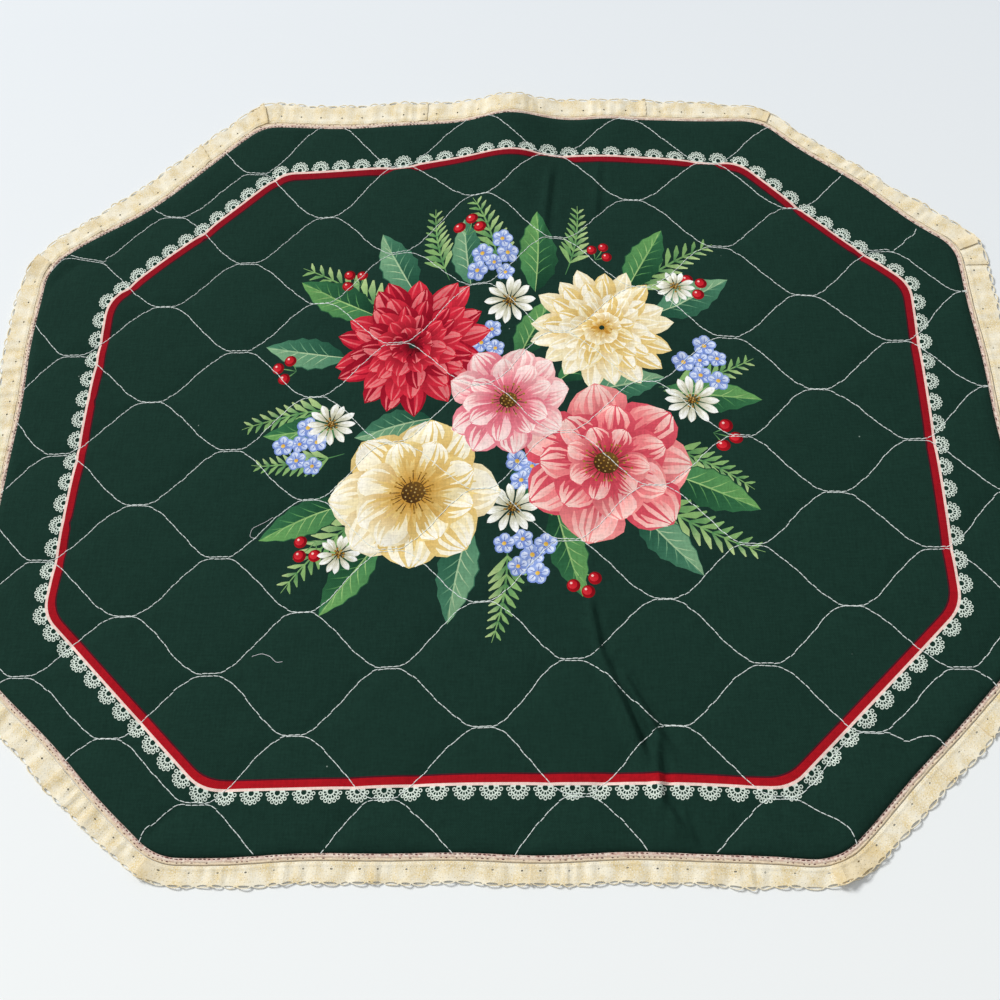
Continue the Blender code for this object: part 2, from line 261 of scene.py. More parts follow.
JOIN_SLOPE = 3.0        # length over which the upper end rises onto the lower one
CORNER_PLEAT = (6.0, 2.0, 10.0)     # how far the lace doubles back, its layers, its way down
SMALL_PLEAT = (2.0, 1.2, 6.0)       # the same for a small pleat
SMALL_PLEATS = (
    # places of the small pleats along the edge
    38.0, 101.0, 203.0, 262.0, 351.0, 388.0, 409.0, 522.0, 581.0, 646.0, 742.0, 766.0, 866.0,
    991.0, 1168.0, 1279.0,
)
PLEAT_RISE = 0.42       # one layer of a pleat over the next


# ---- helpers -----------------------------------------------------------------------------------

def channels(code):
    """Red, green and blue of a hex colour, from 0 to 1."""
    return [int(code[i:i + 2], 16) / 255.0 for i in (1, 3, 5)]


def decoded(values):
    """Linear values of sRGB ones."""
    values = np.asarray(values)
    return np.where(values <= 0.04045, values / 12.92, ((values + 0.055) / 1.055) ** 2.4)


def linear(code):
    """Linear red, green, blue and full cover of an sRGB hex colour."""
    return (*decoded(channels(code)).tolist(), 1.0)


def add_node(tree, kind, inputs=(), **settings):
    """Add a node with its settings and inputs. An input is a value, a socket, or a node's first output."""
    node = tree.nodes.new(kind)
    for name, value in settings.items():
        setattr(node, name, value)
    for name, value in dict(inputs).items():
        if isinstance(value, bpy.types.Node):
            value = value.outputs[0]
        if isinstance(value, bpy.types.NodeSocket):
            tree.links.new(value, node.inputs[name])
        else:
            node.inputs[name].default_value = value
    return node


def object_from(name, points, faces=(), edges=(), finish=None):
    """A smooth mesh object from points in millimetres."""
    mesh = bpy.data.meshes.new(name)
    mesh.from_pydata((np.asarray(points, float) * MM).tolist(), edges, faces)
    made = bpy.data.objects.new(name, mesh)
    bpy.context.scene.collection.objects.link(made)
    if finish:
        mesh.materials.append(finish)
    if len(mesh.polygons):
        mesh.shade_smooth()
    return made


def remove(*objects):
    """Take objects out of the file."""
    for item in objects:
        bpy.data.objects.remove(item, do_unlink=True)


def nodes_tree(name, inputs):
    """A Geometry Nodes tree and the sockets of its inputs, which are given as (kind, name, ...)."""
    tree = bpy.data.node_groups.new(name, "GeometryNodeTree")
    for kind, *names in (("Geometry", "Geometry"), *inputs):
        for socket in names:
            tree.interface.new_socket(socket, in_out="INPUT", socket_type="NodeSocket" + kind)
    tree.interface.new_socket("Geometry", in_out="OUTPUT", socket_type="NodeSocketGeometry")
    return tree, add_node(tree, "NodeGroupInput").outputs


def run_nodes(carrier, tree, values):
    """Run a Geometry Nodes tree on an object and keep its result as a plain mesh."""
    step = carrier.modifiers.new(tree.name, "NODES")
    step.node_group = tree
    for socket in tree.interface.items_tree:
        if socket.item_type == "SOCKET" and socket.in_out == "INPUT" and socket.name in values:
            step[socket.identifier] = values[socket.name]
    carrier.update_tag()
    graph = bpy.context.evaluated_depsgraph_get()
    mesh = bpy.data.meshes.new_from_object(carrier.evaluated_get(graph))
    carrier.modifiers.remove(step)
    carrier.data = mesh
    return carrier


# ---- how the cloth lies ------------------------------------------------------------------------

def bell(distance, reach):
    """One at no distance, falling to nothing past the reach."""
    return np.exp(-(distance / reach) ** 2)


def smooth(value):
    """A soft rise from 0 to 1."""
    value = np.clip(value, 0.0, 1.0)
    return value * value * (3.0 - 2.0 * value)


def laid(x, y):
    """Where points of the flat cloth end up on the table."""
    x, y = np.asarray(x, float), np.asarray(y, float)
    push = sum(far * bell(x - px, rx) * bell(y - py, ry) for px, py, rx, ry, far in PUSHES)
    return x, y + push


def along_line(x, y, x0, y0, x1, y1):
    """The share of the way from one end of a line to the other, and the distance beside it."""
    dx, dy = x1 - x0, y1 - y0
    length = math.hypot(dx, dy)
    share = ((x - x0) * dx + (y - y0) * dy) / length ** 2
    beside = ((x - x0) * dy - (y - y0) * dx) / length
    return share, beside


def lift(x, y):
    """Height of the cloth's underside over the table."""
    height = np.zeros(np.shape(x))
    for x0, y0, x1, y1, half, rise in FOLDS:
        share, beside = along_line(x, y, x0, y0, x1, y1)
        height = height + rise * bell(beside, half) * smooth(1.0 - share)
    return np.maximum(height - FOLD_MIN, 0.0)


def crease(x, y):
    """How much higher the top is in a crease."""
    height = np.zeros(np.shape(x))
    for x0, y0, x1, y1, half, size in CREASES:
        share, beside = along_line(x, y, x0, y0, x1, y1)
        step = CREASE_PEAK * size * (beside / half) * bell(beside, half)
        step = step + CREASE_RIDGE * size * bell(beside, CREASE_RIDGE_WIDTH * half)
        height = height + step * smooth(share * 3.0) * smooth(4.0 - 3.0 * share)
    return height


def crease_points(pitch=1.7, across=(-1.5, -0.8, -0.3, 0.3, 0.8, 1.5)):
    """Close points along and across each crease, so that the mesh can follow it."""
    points = []
    for x0, y0, x1, y1, half, _ in CREASES:
        length = math.dist((x0, y0), (x1, y1))
        nx, ny = (y1 - y0) / length, -(x1 - x0) / length
        for share in np.arange(0.0, 1.3, pitch / length):
            for beside in across:
                points.append((x0 + share * (x1 - x0) + beside * half * nx,
                               y0 + share * (y1 - y0) + beside * half * ny))
    return points


# ---- the panel's edge --------------------------------------------------------------------------

def edge_stretches():
    """The straight and round stretches of the edge as (length, function of the distance along it)."""
    count = len(PANEL_CORNERS)
    ends = []
    for i in range(count):
        _, x, y, radius, _ = PANEL_CORNERS[i]
        _, xa, ya, _, _ = PANEL_CORNERS[i - 1]
        _, xb, yb, _, _ = PANEL_CORNERS[(i + 1) % count]
        way_in = math.atan2(y - ya, x - xa)
        way_out = math.atan2(yb - y, xb - x)
        turn = (way_out - way_in) % (2.0 * math.pi)
        cut = radius * math.tan(turn / 2.0)
        start = (x - cut * math.cos(way_in), y - cut * math.sin(way_in))
        end = (x + cut * math.cos(way_out), y + cut * math.sin(way_out))
        ends.append((start, end, way_in, turn, radius))

    def round_stretch(start, way_in, radius):
        centre = (start[0] - radius * math.sin(way_in), start[1] + radius * math.cos(way_in))

        def at(distance):
            angle = way_in - math.pi / 2.0 + distance / radius
            normal = (math.cos(angle), math.sin(angle))
            return centre[0] + radius * normal[0], centre[1] + radius * normal[1], *normal
        return at

    def straight_stretch(start, end, bow):
        length = math.dist(start, end)
        way = ((end[0] - start[0]) / length, (end[1] - start[1]) / length)
        normal = (way[1], -way[0])

        def at(distance):
            out = bow * math.sin(math.pi * distance / length) ** 2
            return (start[0] + way[0] * distance + normal[0] * out,
                    start[1] + way[1] * distance + normal[1] * out, *normal)
        return at

    stretches = []
    for i in range(count):
        start, end, way_in, turn, radius = ends[i]
        following = ends[(i + 1) % count][0]
        bow = PANEL_CORNERS[i][4]
        stretches.append((turn * radius, round_stretch(start, way_in, radius)))
        stretches.append((math.dist(end, following), straight_stretch(end, following, bow)))
    return stretches


STRETCHES = edge_stretches()
EDGE_LENGTH = sum(length for length, _ in STRETCHES)
STRETCH_STARTS = np.cumsum([0.0] + [length for length, _ in STRETCHES])
CORNER_MIDDLES = [(STRETCH_STARTS[2 * i] + STRETCH_STARTS[2 * i + 1]) / 2.0
                  for i in range(len(PANEL_CORNERS))]


def edge_table(step=0.25):
    """Distance along the edge, place and outward normal, every quarter millimetre."""
    rows = []
    for start, (length, at) in zip(STRETCH_STARTS, STRETCHES):
        for distance in np.linspace(0.0, length, int(length / step) + 2):
            rows.append((start + distance, *at(distance)))
    return np.array(rows).T


EDGE_TABLE = edge_table()


def ripple(along):
    """How far the edge wanders outwards; each wave fits a whole number of times."""
    total = 0.0
    for length, size, start in EDGE_RIPPLES:
        times = round(EDGE_LENGTH / length)
        total = total + size * np.sin(2.0 * math.pi * times * along / EDGE_LENGTH + start)
    return total


def beside_edge(along, out):
    """Places on the table beside the edge, measured along it and outwards from it."""
    rest = np.mod(along, EDGE_LENGTH)
    x, y, nx, ny = (np.interp(rest, EDGE_TABLE[0], column) for column in EDGE_TABLE[1:])
    out = out + ripple(rest)
    return laid(x + nx * out, y + ny * out)


def corner_share(along):
    """One in the middle of a round corner and nothing along a straight stretch."""
    rest = np.mod(along, EDGE_LENGTH)
    share = np.zeros(np.shape(rest))
    for start, (length, _) in list(zip(STRETCH_STARTS, STRETCHES))[::2]:
        part = np.clip((rest - start) / length, 0.0, 1.0)
        share = share + np.sin(math.pi * part)
    return share


# ---- nearest points and soft noise -------------------------------------------------------------

def nearest(points, x, y):
    """Number of the nearest of some points and the distance to it, for each place."""
    tree = KDTree(len(points))
    for number, (px, py) in enumerate(points):
        tree.insert((px, py, 0.0), number)
    tree.balance()
    found = [tree.find((px, py, 0.0))[1:] for px, py in zip(np.ravel(x).tolist(), np.ravel(y).tolist())]
    numbers, distances = zip(*found)
    return np.array(numbers).reshape(np.shape(x)), np.array(distances).reshape(np.shape(x))


EDGE_WALK = np.arange(0.0, EDGE_LENGTH, 0.5)
EDGE_POINTS = np.array(beside_edge(EDGE_WALK, 0.0)).T
EDGE_OUTER = np.array(beside_edge(EDGE_WALK, 1.0)).T


def inside_edge(x, y):
    """How far inside the panel's edge each place is; outside it is below nothing."""
    number, _ = nearest(EDGE_POINTS, x, y)
    normal = EDGE_OUTER[number] - EDGE_POINTS[number]
    offset = np.stack([x, y], axis=-1) - EDGE_POINTS[number]
    return -(offset * normal).sum(axis=-1)


def soft_noise(rng, x, y, spacing, shift=400.0):
    """Smooth random hills between -1 and 1, about one to each spacing, from -shift onwards."""
    u, v = (x + shift) / spacing, (y + shift) / spacing
    cells = rng.uniform(-1.0, 1.0, (int(v.max()) + 2, int(u.max()) + 2))
    i, j = v.astype(int), u.astype(int)
    a, b = smooth(v - i), smooth(u - j)
    low = cells[i, j] * (1.0 - b) + cells[i, j + 1] * b
    high = cells[i + 1, j] * (1.0 - b) + cells[i + 1, j + 1] * b
    return low * (1.0 - a) + high * a


# ---- quilting ----------------------------------------------------------------------------------

def quilt_place(column, row):
    """Place on the table of points of the quilting pattern."""
    y = ROW_START + ROW_PITCH * row
    lean = COLUMN_LEAN + LEAN_PER_COLUMN * column
    shift = np.interp(column, range(COLUMN_SPAN[0], COLUMN_SPAN[1] + 1), COLUMN_SHIFTS)
    return laid(COLUMN_START + COLUMN_PITCH * column + shift + lean * y, y)


def quilting_line(line, steps_per_column):
    """Places along one line of quilting: a wave with flat crests that just miss the next line."""
    count = (COLUMN_SPAN[1] - COLUMN_SPAN[0]) * steps_per_column
    column = np.linspace(*COLUMN_SPAN, count + 1)
    side = 1.0 if line % 2 == 0 else -1.0
    swing = np.cos(math.pi * column)
    gap = (WIDE_GAP + CLOSE_GAP) / 2.0 - (WIDE_GAP - CLOSE_GAP) / 2.0 * swing
    crest = 0.5 - gap / (2.0 * ROW_PITCH)
    wave = (0.5 + LINE_OVERSHOOT / (2.0 * ROW_PITCH)) * swing
    wobble = sum(size * np.sin(pace * column + shift * line) for size, pace, shift in LINE_WOBBLE)
    # A line wobbles less at its crests, so that it stays clear of the next one.
    calm = 0.3 + 0.7 * smooth((0.5 - np.abs(wave)) / 0.08)
    row = line + 0.5 + side * np.clip(wave, -crest, crest) + wobble * calm
    return np.stack(quilt_place(column, row), axis=-1)


def inner_runs(points, margin):
    """The runs of a line's points that lie more than the margin inside the panel's edge."""
    inside = inside_edge(points[:, 0], points[:, 1]) > margin
    runs, run = [], []
    for place, within in zip(points, inside):
        if within:
            run.append(place)
        elif run:
            runs.append(np.array(run))
            run = []
    if run:
        runs.append(np.array(run))
    return [run for run in runs if len(run) > 2]


def quilting_runs(steps_per_column, margin):
    """All lines of quilting as far as they lie inside the panel's edge."""
    return [run for line in range(*LINE_SPAN)
            for run in inner_runs(quilting_line(line, steps_per_column), margin)]


# ---- relief of the cloth's top -----------------------------------------------------------------
MAP_STEP = 1.0
MAP_X = np.arange(-224.0, 224.1, MAP_STEP)
MAP_Y = np.arange(-196.0, 192.1, MAP_STEP)
RELIEF_SEED = 12
DRAWN_HEIGHT = 0.13     # of the little gathers that the thread draws into the cloth
DRAWN_REACH = 3.2       # how far they run from a line
DRAWN_PACE = 0.78       # radians from one point of a line to the next
DRAWN_DRIFT = (1.5, 9.0)    # size in radians and spacing of their unevenness
DRAWN_START = 0.8       # distance from a line at which they are full
HILLS = (
    # spacing and height of the soft hills of the wadding
    (31.0, 0.16), (11.0, 0.07),
)
HILLS_START = 9.0       # distance from a line at which they are full


def cloth_relief():
    """Height of the cloth's top over the table on an even grid, in millimetres."""
    x, y = np.meshgrid(MAP_X, MAP_Y)
    rng = np.random.default_rng(RELIEF_SEED)
    seams = np.concatenate(quilting_runs(steps_per_column=60, margin=-2.0))
    number, beside = nearest(seams, x, y)
    puff = PANEL_PUFF * (1.0 - np.exp(-beside / PUFF_REACH))
    drift, spacing = DRAWN_DRIFT
    wave = np.sin(number * DRAWN_PACE + drift * soft_noise(rng, x, y, spacing))
    drawn = DRAWN_HEIGHT * wave * np.exp(-beside / DRAWN_REACH) * smooth(beside / DRAWN_START)
    rolling = sum(height * soft_noise(rng, x, y, spacing) for spacing, height in HILLS)
    top = PANEL_BASE + puff + drawn + rolling * smooth(beside / HILLS_START) + crease(x, y)
    heights, insets = zip(*EDGE_STEPS[2:])
    rounded = np.interp(inside_edge(x, y), insets, heights)
    return lift(x, y) + np.minimum(np.maximum(top, LEAST_THICK), rounded)


RELIEF = cloth_relief()


def slopes():
    """The surface's upward normal on the same grid."""
    along_y, along_x = np.gradient(RELIEF, MAP_STEP)
    normal = np.stack([-along_x, -along_y, np.ones_like(RELIEF)], axis=-1)
    return normal / np.linalg.norm(normal, axis=-1, keepdims=True)


NORMALS = slopes()


def read_map(values, x, y):
    """Value of a grid map at places on the table."""
    u = np.clip((np.asarray(x) - MAP_X[0]) / MAP_STEP, 0.0, len(MAP_X) - 1.001)
    v = np.clip((np.asarray(y) - MAP_Y[0]) / MAP_STEP, 0.0, len(MAP_Y) - 1.001)
    i, j = v.astype(int), u.astype(int)
    a, b = v - i, u - j
    if values.ndim > 2:
        a, b = a[..., None], b[..., None]
    low = values[i, j] * (1.0 - b) + values[i, j + 1] * b
    high = values[i + 1, j] * (1.0 - b) + values[i + 1, j + 1] * b
    return low * (1.0 - a) + high * a


# ---- the print ---------------------------------------------------------------------------------
# Each mark is (outline, colour at its start, colour at its end, start, end), drawn on the flat
# cloth. A later mark covers an earlier one, and the first is the bare cloth.
marks = [((), GROUND, GROUND, (0.0, 0.0), (0.0, 1.0))]


def paint(outline, near, far, start, end):
    """Add a mark over the ones before it."""
    marks.append((outline, near, far, start, end))


def paint_dot(x, y, radius, near, far, sides=8):
    """A round spot, shaded from its lower left to its upper right."""
    turns = [2.0 * math.pi * k / sides for k in range(sides)]
    outline = [(x + radius * math.cos(turn), y + radius * math.sin(turn)) for turn in turns]
    paint(outline, near, far, (x - radius, y - radius), (x + radius, y + radius))


def paint_stroke(points, width, near, far):
    """A brush stroke along a few points, thin at both ends."""
    left, right = [], []
    last = len(points) - 1
    for i, (x, y) in enumerate(points):
        x0, y0 = points[max(i - 1, 0)]
        x1, y1 = points[min(i + 1, last)]
        length = math.hypot(x1 - x0, y1 - y0) or 1.0
        half = 0.5 * width * math.sin(math.pi * min(max(i / last, 0.04), 0.96)) ** 0.7
        nx, ny = -(y1 - y0) / length * half, (x1 - x0) / length * half
        left.append((x + nx, y + ny))
        right.append((x - nx, y - ny))
    paint(left + right[::-1], near, far, points[0], points[-1])


def turned(points, x, y, angle):
    """Points drawn along +X, turned and put at a place."""
    c, s = math.cos(angle), math.sin(angle)
    return [(x + px * c - py * s, y + px * s + py * c) for px, py in points]


# ---- printed border ----------------------------------------------------------------------------

def octagon(offset):
    """Corners of the border's octagon, moved out by an offset."""
    moved = []
    for i, (x, y) in enumerate(BAND_CORNERS):
        before, after = BAND_CORNERS[i - 1], BAND_CORNERS[(i + 1) % len(BAND_CORNERS)]
        way_in = math.atan2(y - before[1], x - before[0])
        half_turn = ((math.atan2(after[1] - y, after[0] - x) - way_in) % (2.0 * math.pi)) / 2.0
        out = way_in + half_turn - math.pi / 2.0
        far = offset / math.cos(half_turn)
        moved.append((x + far * math.cos(out), y + far * math.sin(out)))
    return moved


def between(a, b, share):
    """A place on the way from one place to another."""
    return (a[0] + (b[0] - a[0]) * share, a[1] + (b[1] - a[1]) * share)


def tucked(x, y, out, offset):
    """A place on a line of the border, moved out where the cloth is tucked under at the quilting."""
    share = max((1.0 - left) * smooth(1.5 - math.dist((x, y), (px, py)) / half)
                for px, py, half, left in TUCKS)
    move = share * (max(TUCK_LEFT - offset, 0.0) - TUCK_IN)
    return x + move * math.cos(out), y + move * math.sin(out)


def border_line(offset, step=3.0):
    """The octagon as a closed line with round corners, in short steps so that it can bend."""
    corners = octagon(offset)
    points = []
    for i, corner in enumerate(corners):
        before, after = corners[i - 1], corners[(i + 1) % len(corners)]
        length_in, length_out = math.dist(before, corner), math.dist(corner, after)
        enter = between(corner, before, BAND_ROUND / length_in)
        leave = between(corner, after, BAND_ROUND / length_out)
        for k in range(9):
            share = k / 8.0
            points.append(between(between(enter, corner, share), between(corner, leave, share), share))
        target = between(after, corner, BAND_ROUND / length_out)
        count = int(length_out / step)
        out = math.atan2(after[1] - corner[1], after[0] - corner[0]) - math.pi / 2.0
        points += [tucked(*between(leave, target, k / count), out, offset) for k in range(1, count)]
    return points


def paint_rosette(x, y, angle):
    """A half rosette of printed lace: picots, an arc, spokes and a cup round a dark heart."""
    for degrees in PICOTS:
        turn = angle + math.radians(degrees - 90.0)
        px, py = x + PICOT_OUT * math.cos(turn), y + PICOT_OUT * math.sin(turn)
        paint_dot(px, py, PICOT_SIZE, LACE_WHITE, LACE_WHITE, 9)
        paint_dot(px, py, PICOT_HOLE, GROUND, GROUND, 6)
    paint_dot(x, y, ROSETTE_SIZE, LACE_WHITE, LACE_WHITE, 20)
    for degrees in SLOTS:
        slot = turned(SLOT, x, y, angle + math.radians(degrees))
        paint(slot, GROUND, GROUND, (x, y), (x + 1.0, y))
    paint_dot(x, y, ROSETTE_HEART, GROUND, GROUND, 10)


def paint_border():
    """The rows of rosettes, and over them the pale line and the red band."""
    corners = octagon(ROSETTE_OUT)
    for i, count in enumerate(ROSETTES_PER_SIDE):
        before, corner, after = corners[i - 1], corners[i], corners[(i + 1) % len(corners)]
        out = math.atan2(after[1] - corner[1], after[0] - corner[0]) - math.pi / 2.0
        out_before = math.atan2(corner[1] - before[1], corner[0] - before[0]) - math.pi / 2.0
        half_turn = ((out - out_before) % (2.0 * math.pi)) / 2.0
        for k in range(count):
            x, y = between(corner, after, k / count)
            if k == 0:      # the corner's rosette stands on the round of the band
                turn = out - half_turn
                paint_rosette(x - CORNER_ROSETTE_IN * math.cos(turn),
                              y - CORNER_ROSETTE_IN * math.sin(turn), turn)
            else:
                paint_rosette(x, y, out)
    for offset, low, high in BAND_RINGS:
        paint(border_line(offset), low, high, *BAND_SHADING)


# ---- printed posy ------------------------------------------------------------------------------
POSY_CENTRE = (4.0, 5.0)
POSY_SEED = 41
TONES = {
    # shade, mid, light, pale
    "red": ("#5A0A14", "#A8142A", "#D42C3E", "#F08A88"),
    "coral": ("#A62438", "#DE5A66", "#F29490", "#FCDCD0"),
    "pink": ("#C4485C", "#EE8E98", "#F8C4C0", "#FEEEE6"),
    "cream": ("#C08A34", "#EAD08A", "#F6EAC4", "#FFFBEE"),
    "blue": ("#33438C", "#6A82C8", "#A6BAE6", "#F0F4FB"),
    "leaf": ("#173C2A", "#3A7449", "#6FA35B", "#AFCB86"),
    "sage": ("#1E4A38", "#4C8264", "#86AE84", "#C2D4A8"),
    "stem": ("#24502F", "#4F8450", "#86AE6A", "#B7CB8C"),
    "berry": ("#6A0812", "#B5121F", "#DC3840", "#FBC8C0"),
    "seed": ("#3A2412", "#7C5A26", "#C79A3C", "#F2D68A"),
    "white": ("#A9A684", "#E4E2CE", "#F8F7EC", "#FFFFFF"),
}
FRONDS = (
    # x, y, direction, length, curve
    (-48, 48, 132, 56, 0.2), (56, 53, 52, 54, -0.22), (-53, -46, 214, 50, 0.2),
    (58, -43, -38, 56, 0.2), (0, 62, 96, 50, 0.18), (4, -64, -86, 44, -0.2),
    (70, 8, 8, 44, 0.25), (-69, 3, 176, 44, 0.25), (-24, 66, 112, 42, -0.2),
    (30, 66, 70, 40, 0.2), (69, -21, -16, 42, -0.2), (-67, -19, 196, 40, -0.2),
)
LEAVES = (
    # x, y, direction, length, width, tone
    (-58, 52, 150, 42, 18, "leaf"), (-40, 62, 118, 40, 17, "sage"), (-70, 30, 172, 38, 16, "sage"),
    (16, 56, 84, 44, 18, "leaf"), (58, 60, 62, 38, 16, "leaf"), (70, 46, 30, 40, 17, "sage"),
    (72, 6, -4, 42, 17, "leaf"), (72, -34, -22, 40, 18, "leaf"), (58, -52, -50, 38, 16, "sage"),
    (24, -50, -76, 42, 16, "leaf"), (-12, -58, -104, 42, 17, "sage"), (-50, -62, -128, 38, 16, "leaf"),
    (-64, -42, 200, 40, 17, "leaf"), (-66, -6, 184, 38, 15, "leaf"), (-14, 62, 100, 36, 14, "sage"),
    (40, 4, 20, 34, 15, "sage"), (-30, -4, 190, 34, 15, "sage"), (8, 22, 66, 36, 15, "leaf"),
    (8, -24, -66, 34, 15, "leaf"), (-8, 20, 118, 30, 13, "sage"), (26, 10, 40, 30, 13, "leaf"),
    (-18, -24, 236, 30, 13, "leaf"),
)
BERRY_SPRAYS = (
    # x, y, direction, size of a berry
    (-16, 88, 80, 3.0), (84, 60, 30, 2.8), (-92, 24, 165, 2.8), (92, -14, -10, 3.0),
    (-76, -60, 225, 2.8), (34, -80, -70, 2.8), (44, 76, 60, 2.4), (-66, 70, 130, 2.6),
)
BLUE_CLUSTERS = (
    # x, y, how many, reach
    (-2, 74, 6, 10), (90, 20, 6, 10), (-86, -16, 6, 10), (12, -70, 6, 10), (-8, 34, 4, 8),
    (14, -34, 4, 8),
)
PETAL_STREAKS = (
    # where on a petal a streak starts, nearest and furthest end, spread, thickness, first and last
    # tone: dark ones from the root, then pale ones from the tip
    (0.06, 0.40, 0.75, 0.80, 0.09, 0, 1),
    (0.97, 0.45, 0.70, 0.85, 0.08, 3, 2),
)
DAISIES = (
    # x, y, radius
    (4, 52, 12), (84, 2, 12), (-74, -4, 11), (6, -50, 12), (-66, -66, 9), (80, 62, 9),
)


def paint_petal(x, y, angle, length, width, tones, rng, tip=1.0, ruffle=0.0, streaks=4, start=0.0):
    """One painted petal: its outline, dark streaks from the root and pale ones from the tip."""
    shade, mid, light, pale = tones
    steps = 9
    bend = rng.uniform(-0.12, 0.12) * length

    def at(t, side):
        half = 0.5 * width * math.sin(math.pi * t ** tip) ** 0.75 if 0 < t < 1 else 0.0
        wave = 1.0 + ruffle * math.sin(9.0 * t + 5.0 * side + angle * 3.0)
        return (start + (length - start) * t, bend * t * t + side * half * wave)

    outline = [at(i / steps, 1.0) for i in range(steps + 1)]
    outline += [at(i / steps, -1.0) for i in range(steps - 1, 0, -1)]
    c, s = math.cos(angle), math.sin(angle)
    paint(turned(outline, x, y, angle), shade, light if rng.random() < 0.5 else mid,
          (x + start * c, y + start * s), (x + 0.9 * length * c, y + 0.9 * length * s))
    inner = [at(0.25 + 0.68 * i / 6, 0.78) for i in range(7)]
    inner += [at(0.25 + 0.68 * i / 6, 0.05) for i in range(6, -1, -1)]
    paint(turned(inner, x, y, angle), mid, pale if rng.random() < 0.6 else light,
          (x, y), (x + length * c, y + length * s))
    for root, near, far, spread, thick, first, last in PETAL_STREAKS:
        for k in range(streaks):
            side = (k + 0.5) / streaks * (2.0 * spread) - spread + rng.uniform(-0.1, 0.1)
            reach = rng.uniform(near, far)
            path = [at(root + (reach - root) * i / 3, side * 0.9) for i in range(4)]
            paint_stroke(turned(path, x, y, angle), width * thick, tones[first], tones[last])


def paint_full_flower(x, y, radius, tones, rng, rows):
    """A full round flower of many rows of narrow petals."""
    for row in range(rows):
        share = 1.0 - row / (rows + 0.6)
        count = max(round(17 * (0.45 + 0.55 * share)), 5)
        for k in range(count):
            angle = 2.0 * math.pi * (k + 0.5 * (row % 2)) / count + rng.uniform(-0.05, 0.05)
            length = radius * share * rng.uniform(0.94, 1.04)
            paint_petal(x, y, angle, length, radius * 0.34 * (0.55 + 0.45 * share), tones, rng,
                        tip=1.5, streaks=2, start=length * 0.12)
    for k in range(9):
        angle = 2.4 * k
        root = 0.035 * radius
        paint_petal(x + root * math.cos(angle), y + root * math.sin(angle), angle, radius * 0.13,
                    radius * 0.1, (tones[0], tones[0], tones[1], tones[2]), rng, streaks=1)


def paint_open_flower(x, y, radius, tones, rng, petals, layers, width=0.72, ruffle=0.06):
    """An open flower of broad petals round a heart of seeds and stamens."""
    for layer in range(layers):
        size = radius * (1.0 - 0.26 * layer)
        for k in range(petals):
            angle = 2.0 * math.pi * (k + 0.5 * layer) / petals + rng.uniform(-0.07, 0.07)
            paint_petal(x, y, angle, size * rng.uniform(0.94, 1.03), size * width, tones, rng,
                        tip=1.7, ruffle=ruffle, streaks=6, start=size * 0.1)
    shade, mid, light, pale = TONES["seed"]
    ring = radius * 0.2
    for k in range(round(0.75 * radius)):
        angle = 2.4 * k
        far = ring * (0.95 + 0.5 * rng.random())
        c, s = math.cos(angle), math.sin(angle)
        paint_stroke([(x + far * t * c, y + far * t * s) for t in (0.55, 0.7, 0.85, 1.0)],
                     0.5, shade, mid)
        paint_dot(x + far * c, y + far * s, 0.55, light, mid, 6)
    paint_dot(x, y, ring * 0.72, shade, mid, 14)
    count = round(0.6 * radius)
    for k in range(count):
        angle, far = 2.4 * k, ring * 0.68 * math.sqrt((k + 0.5) / count)
        paint_dot(x + far * math.cos(angle), y + far * math.sin(angle), 0.42,
                  pale if k % 3 == 0 else light, mid, 6)


def paint_leaf(x, y, angle, length, width, tones, curve):
    """A toothed leaf with a light half, a midrib and side veins."""
    shade, mid, light, pale = tones
    steps = 12

    def at(t, side):
        half = 0.5 * width * math.sin(math.pi * t ** 0.85) ** 0.9 if 0 < t < 1 else 0.0
        tooth = 1.08 if round(t * steps) % 2 else 0.94
        return (length * t, curve * length * t * t + side * half * tooth)

    outline = [at(i / steps, 1.0) for i in range(steps + 1)]
    outline += [at(i / steps, -1.0) for i in range(steps - 1, 0, -1)]
    tip = (x + length * math.cos(angle), y + length * math.sin(angle))
    paint(turned(outline, x, y, angle), shade, mid, (x, y), tip)
    half = [at(i / steps, 0.94) for i in range(steps + 1)]
    half += [at(i / steps, 0.0) for i in range(steps - 1, 0, -1)]
    paint(turned(half, x, y, angle), mid, light, (x, y), tip)
    paint_stroke(turned([at(i / 6, 0.0) for i in range(7)], x, y, angle), 0.75, pale, light)
    for k in range(1, 7):
        t = 0.08 + k * 0.125
        for side, near, far in ((1.0, pale, light), (-1.0, light, mid)):
            x0, y0 = at(t, 0.0)
            x1, y1 = at(min(t + 0.16, 0.97), 0.8 * side)
            vein = [(x0, y0), (x0 + (x1 - x0) * 0.5, y0 + (y1 - y0) * 0.42), (x1, y1)]
            paint_stroke(turned(vein, x, y, angle), 0.5, near, far)


def paint_frond(x, y, angle, length, curve, tones, pairs=9):
    """A fern frond: a bent stem with pairs of narrow leaflets that shorten to the tip."""
    _, mid, light, pale = tones
    path = [(length * i / 8, curve * length * (i / 8) ** 2) for i in range(9)]
    paint_stroke(turned(path, x, y, angle), 0.9, mid, light)
    for k in range(pairs):
        t = 0.18 + 0.8 * k / pairs
        sx, sy = length * t, curve * length * t * t
        slope = math.atan(2 * curve * t)
        size = length * 0.3 * (1.0 - 0.72 * t)
        for side in (1, -1):
            turn = slope + side * 0.75
            tip = (sx + size * math.cos(turn), sy + size * math.sin(turn))
            leaflet = [(sx, sy), ((sx + tip[0]) / 2 + 0.1 * size, (sy + tip[1]) / 2), tip]
            paint_stroke(turned(leaflet, x, y, angle), size * 0.24 + 0.25,
                         mid if k % 2 else light, light if side > 0 else pale)


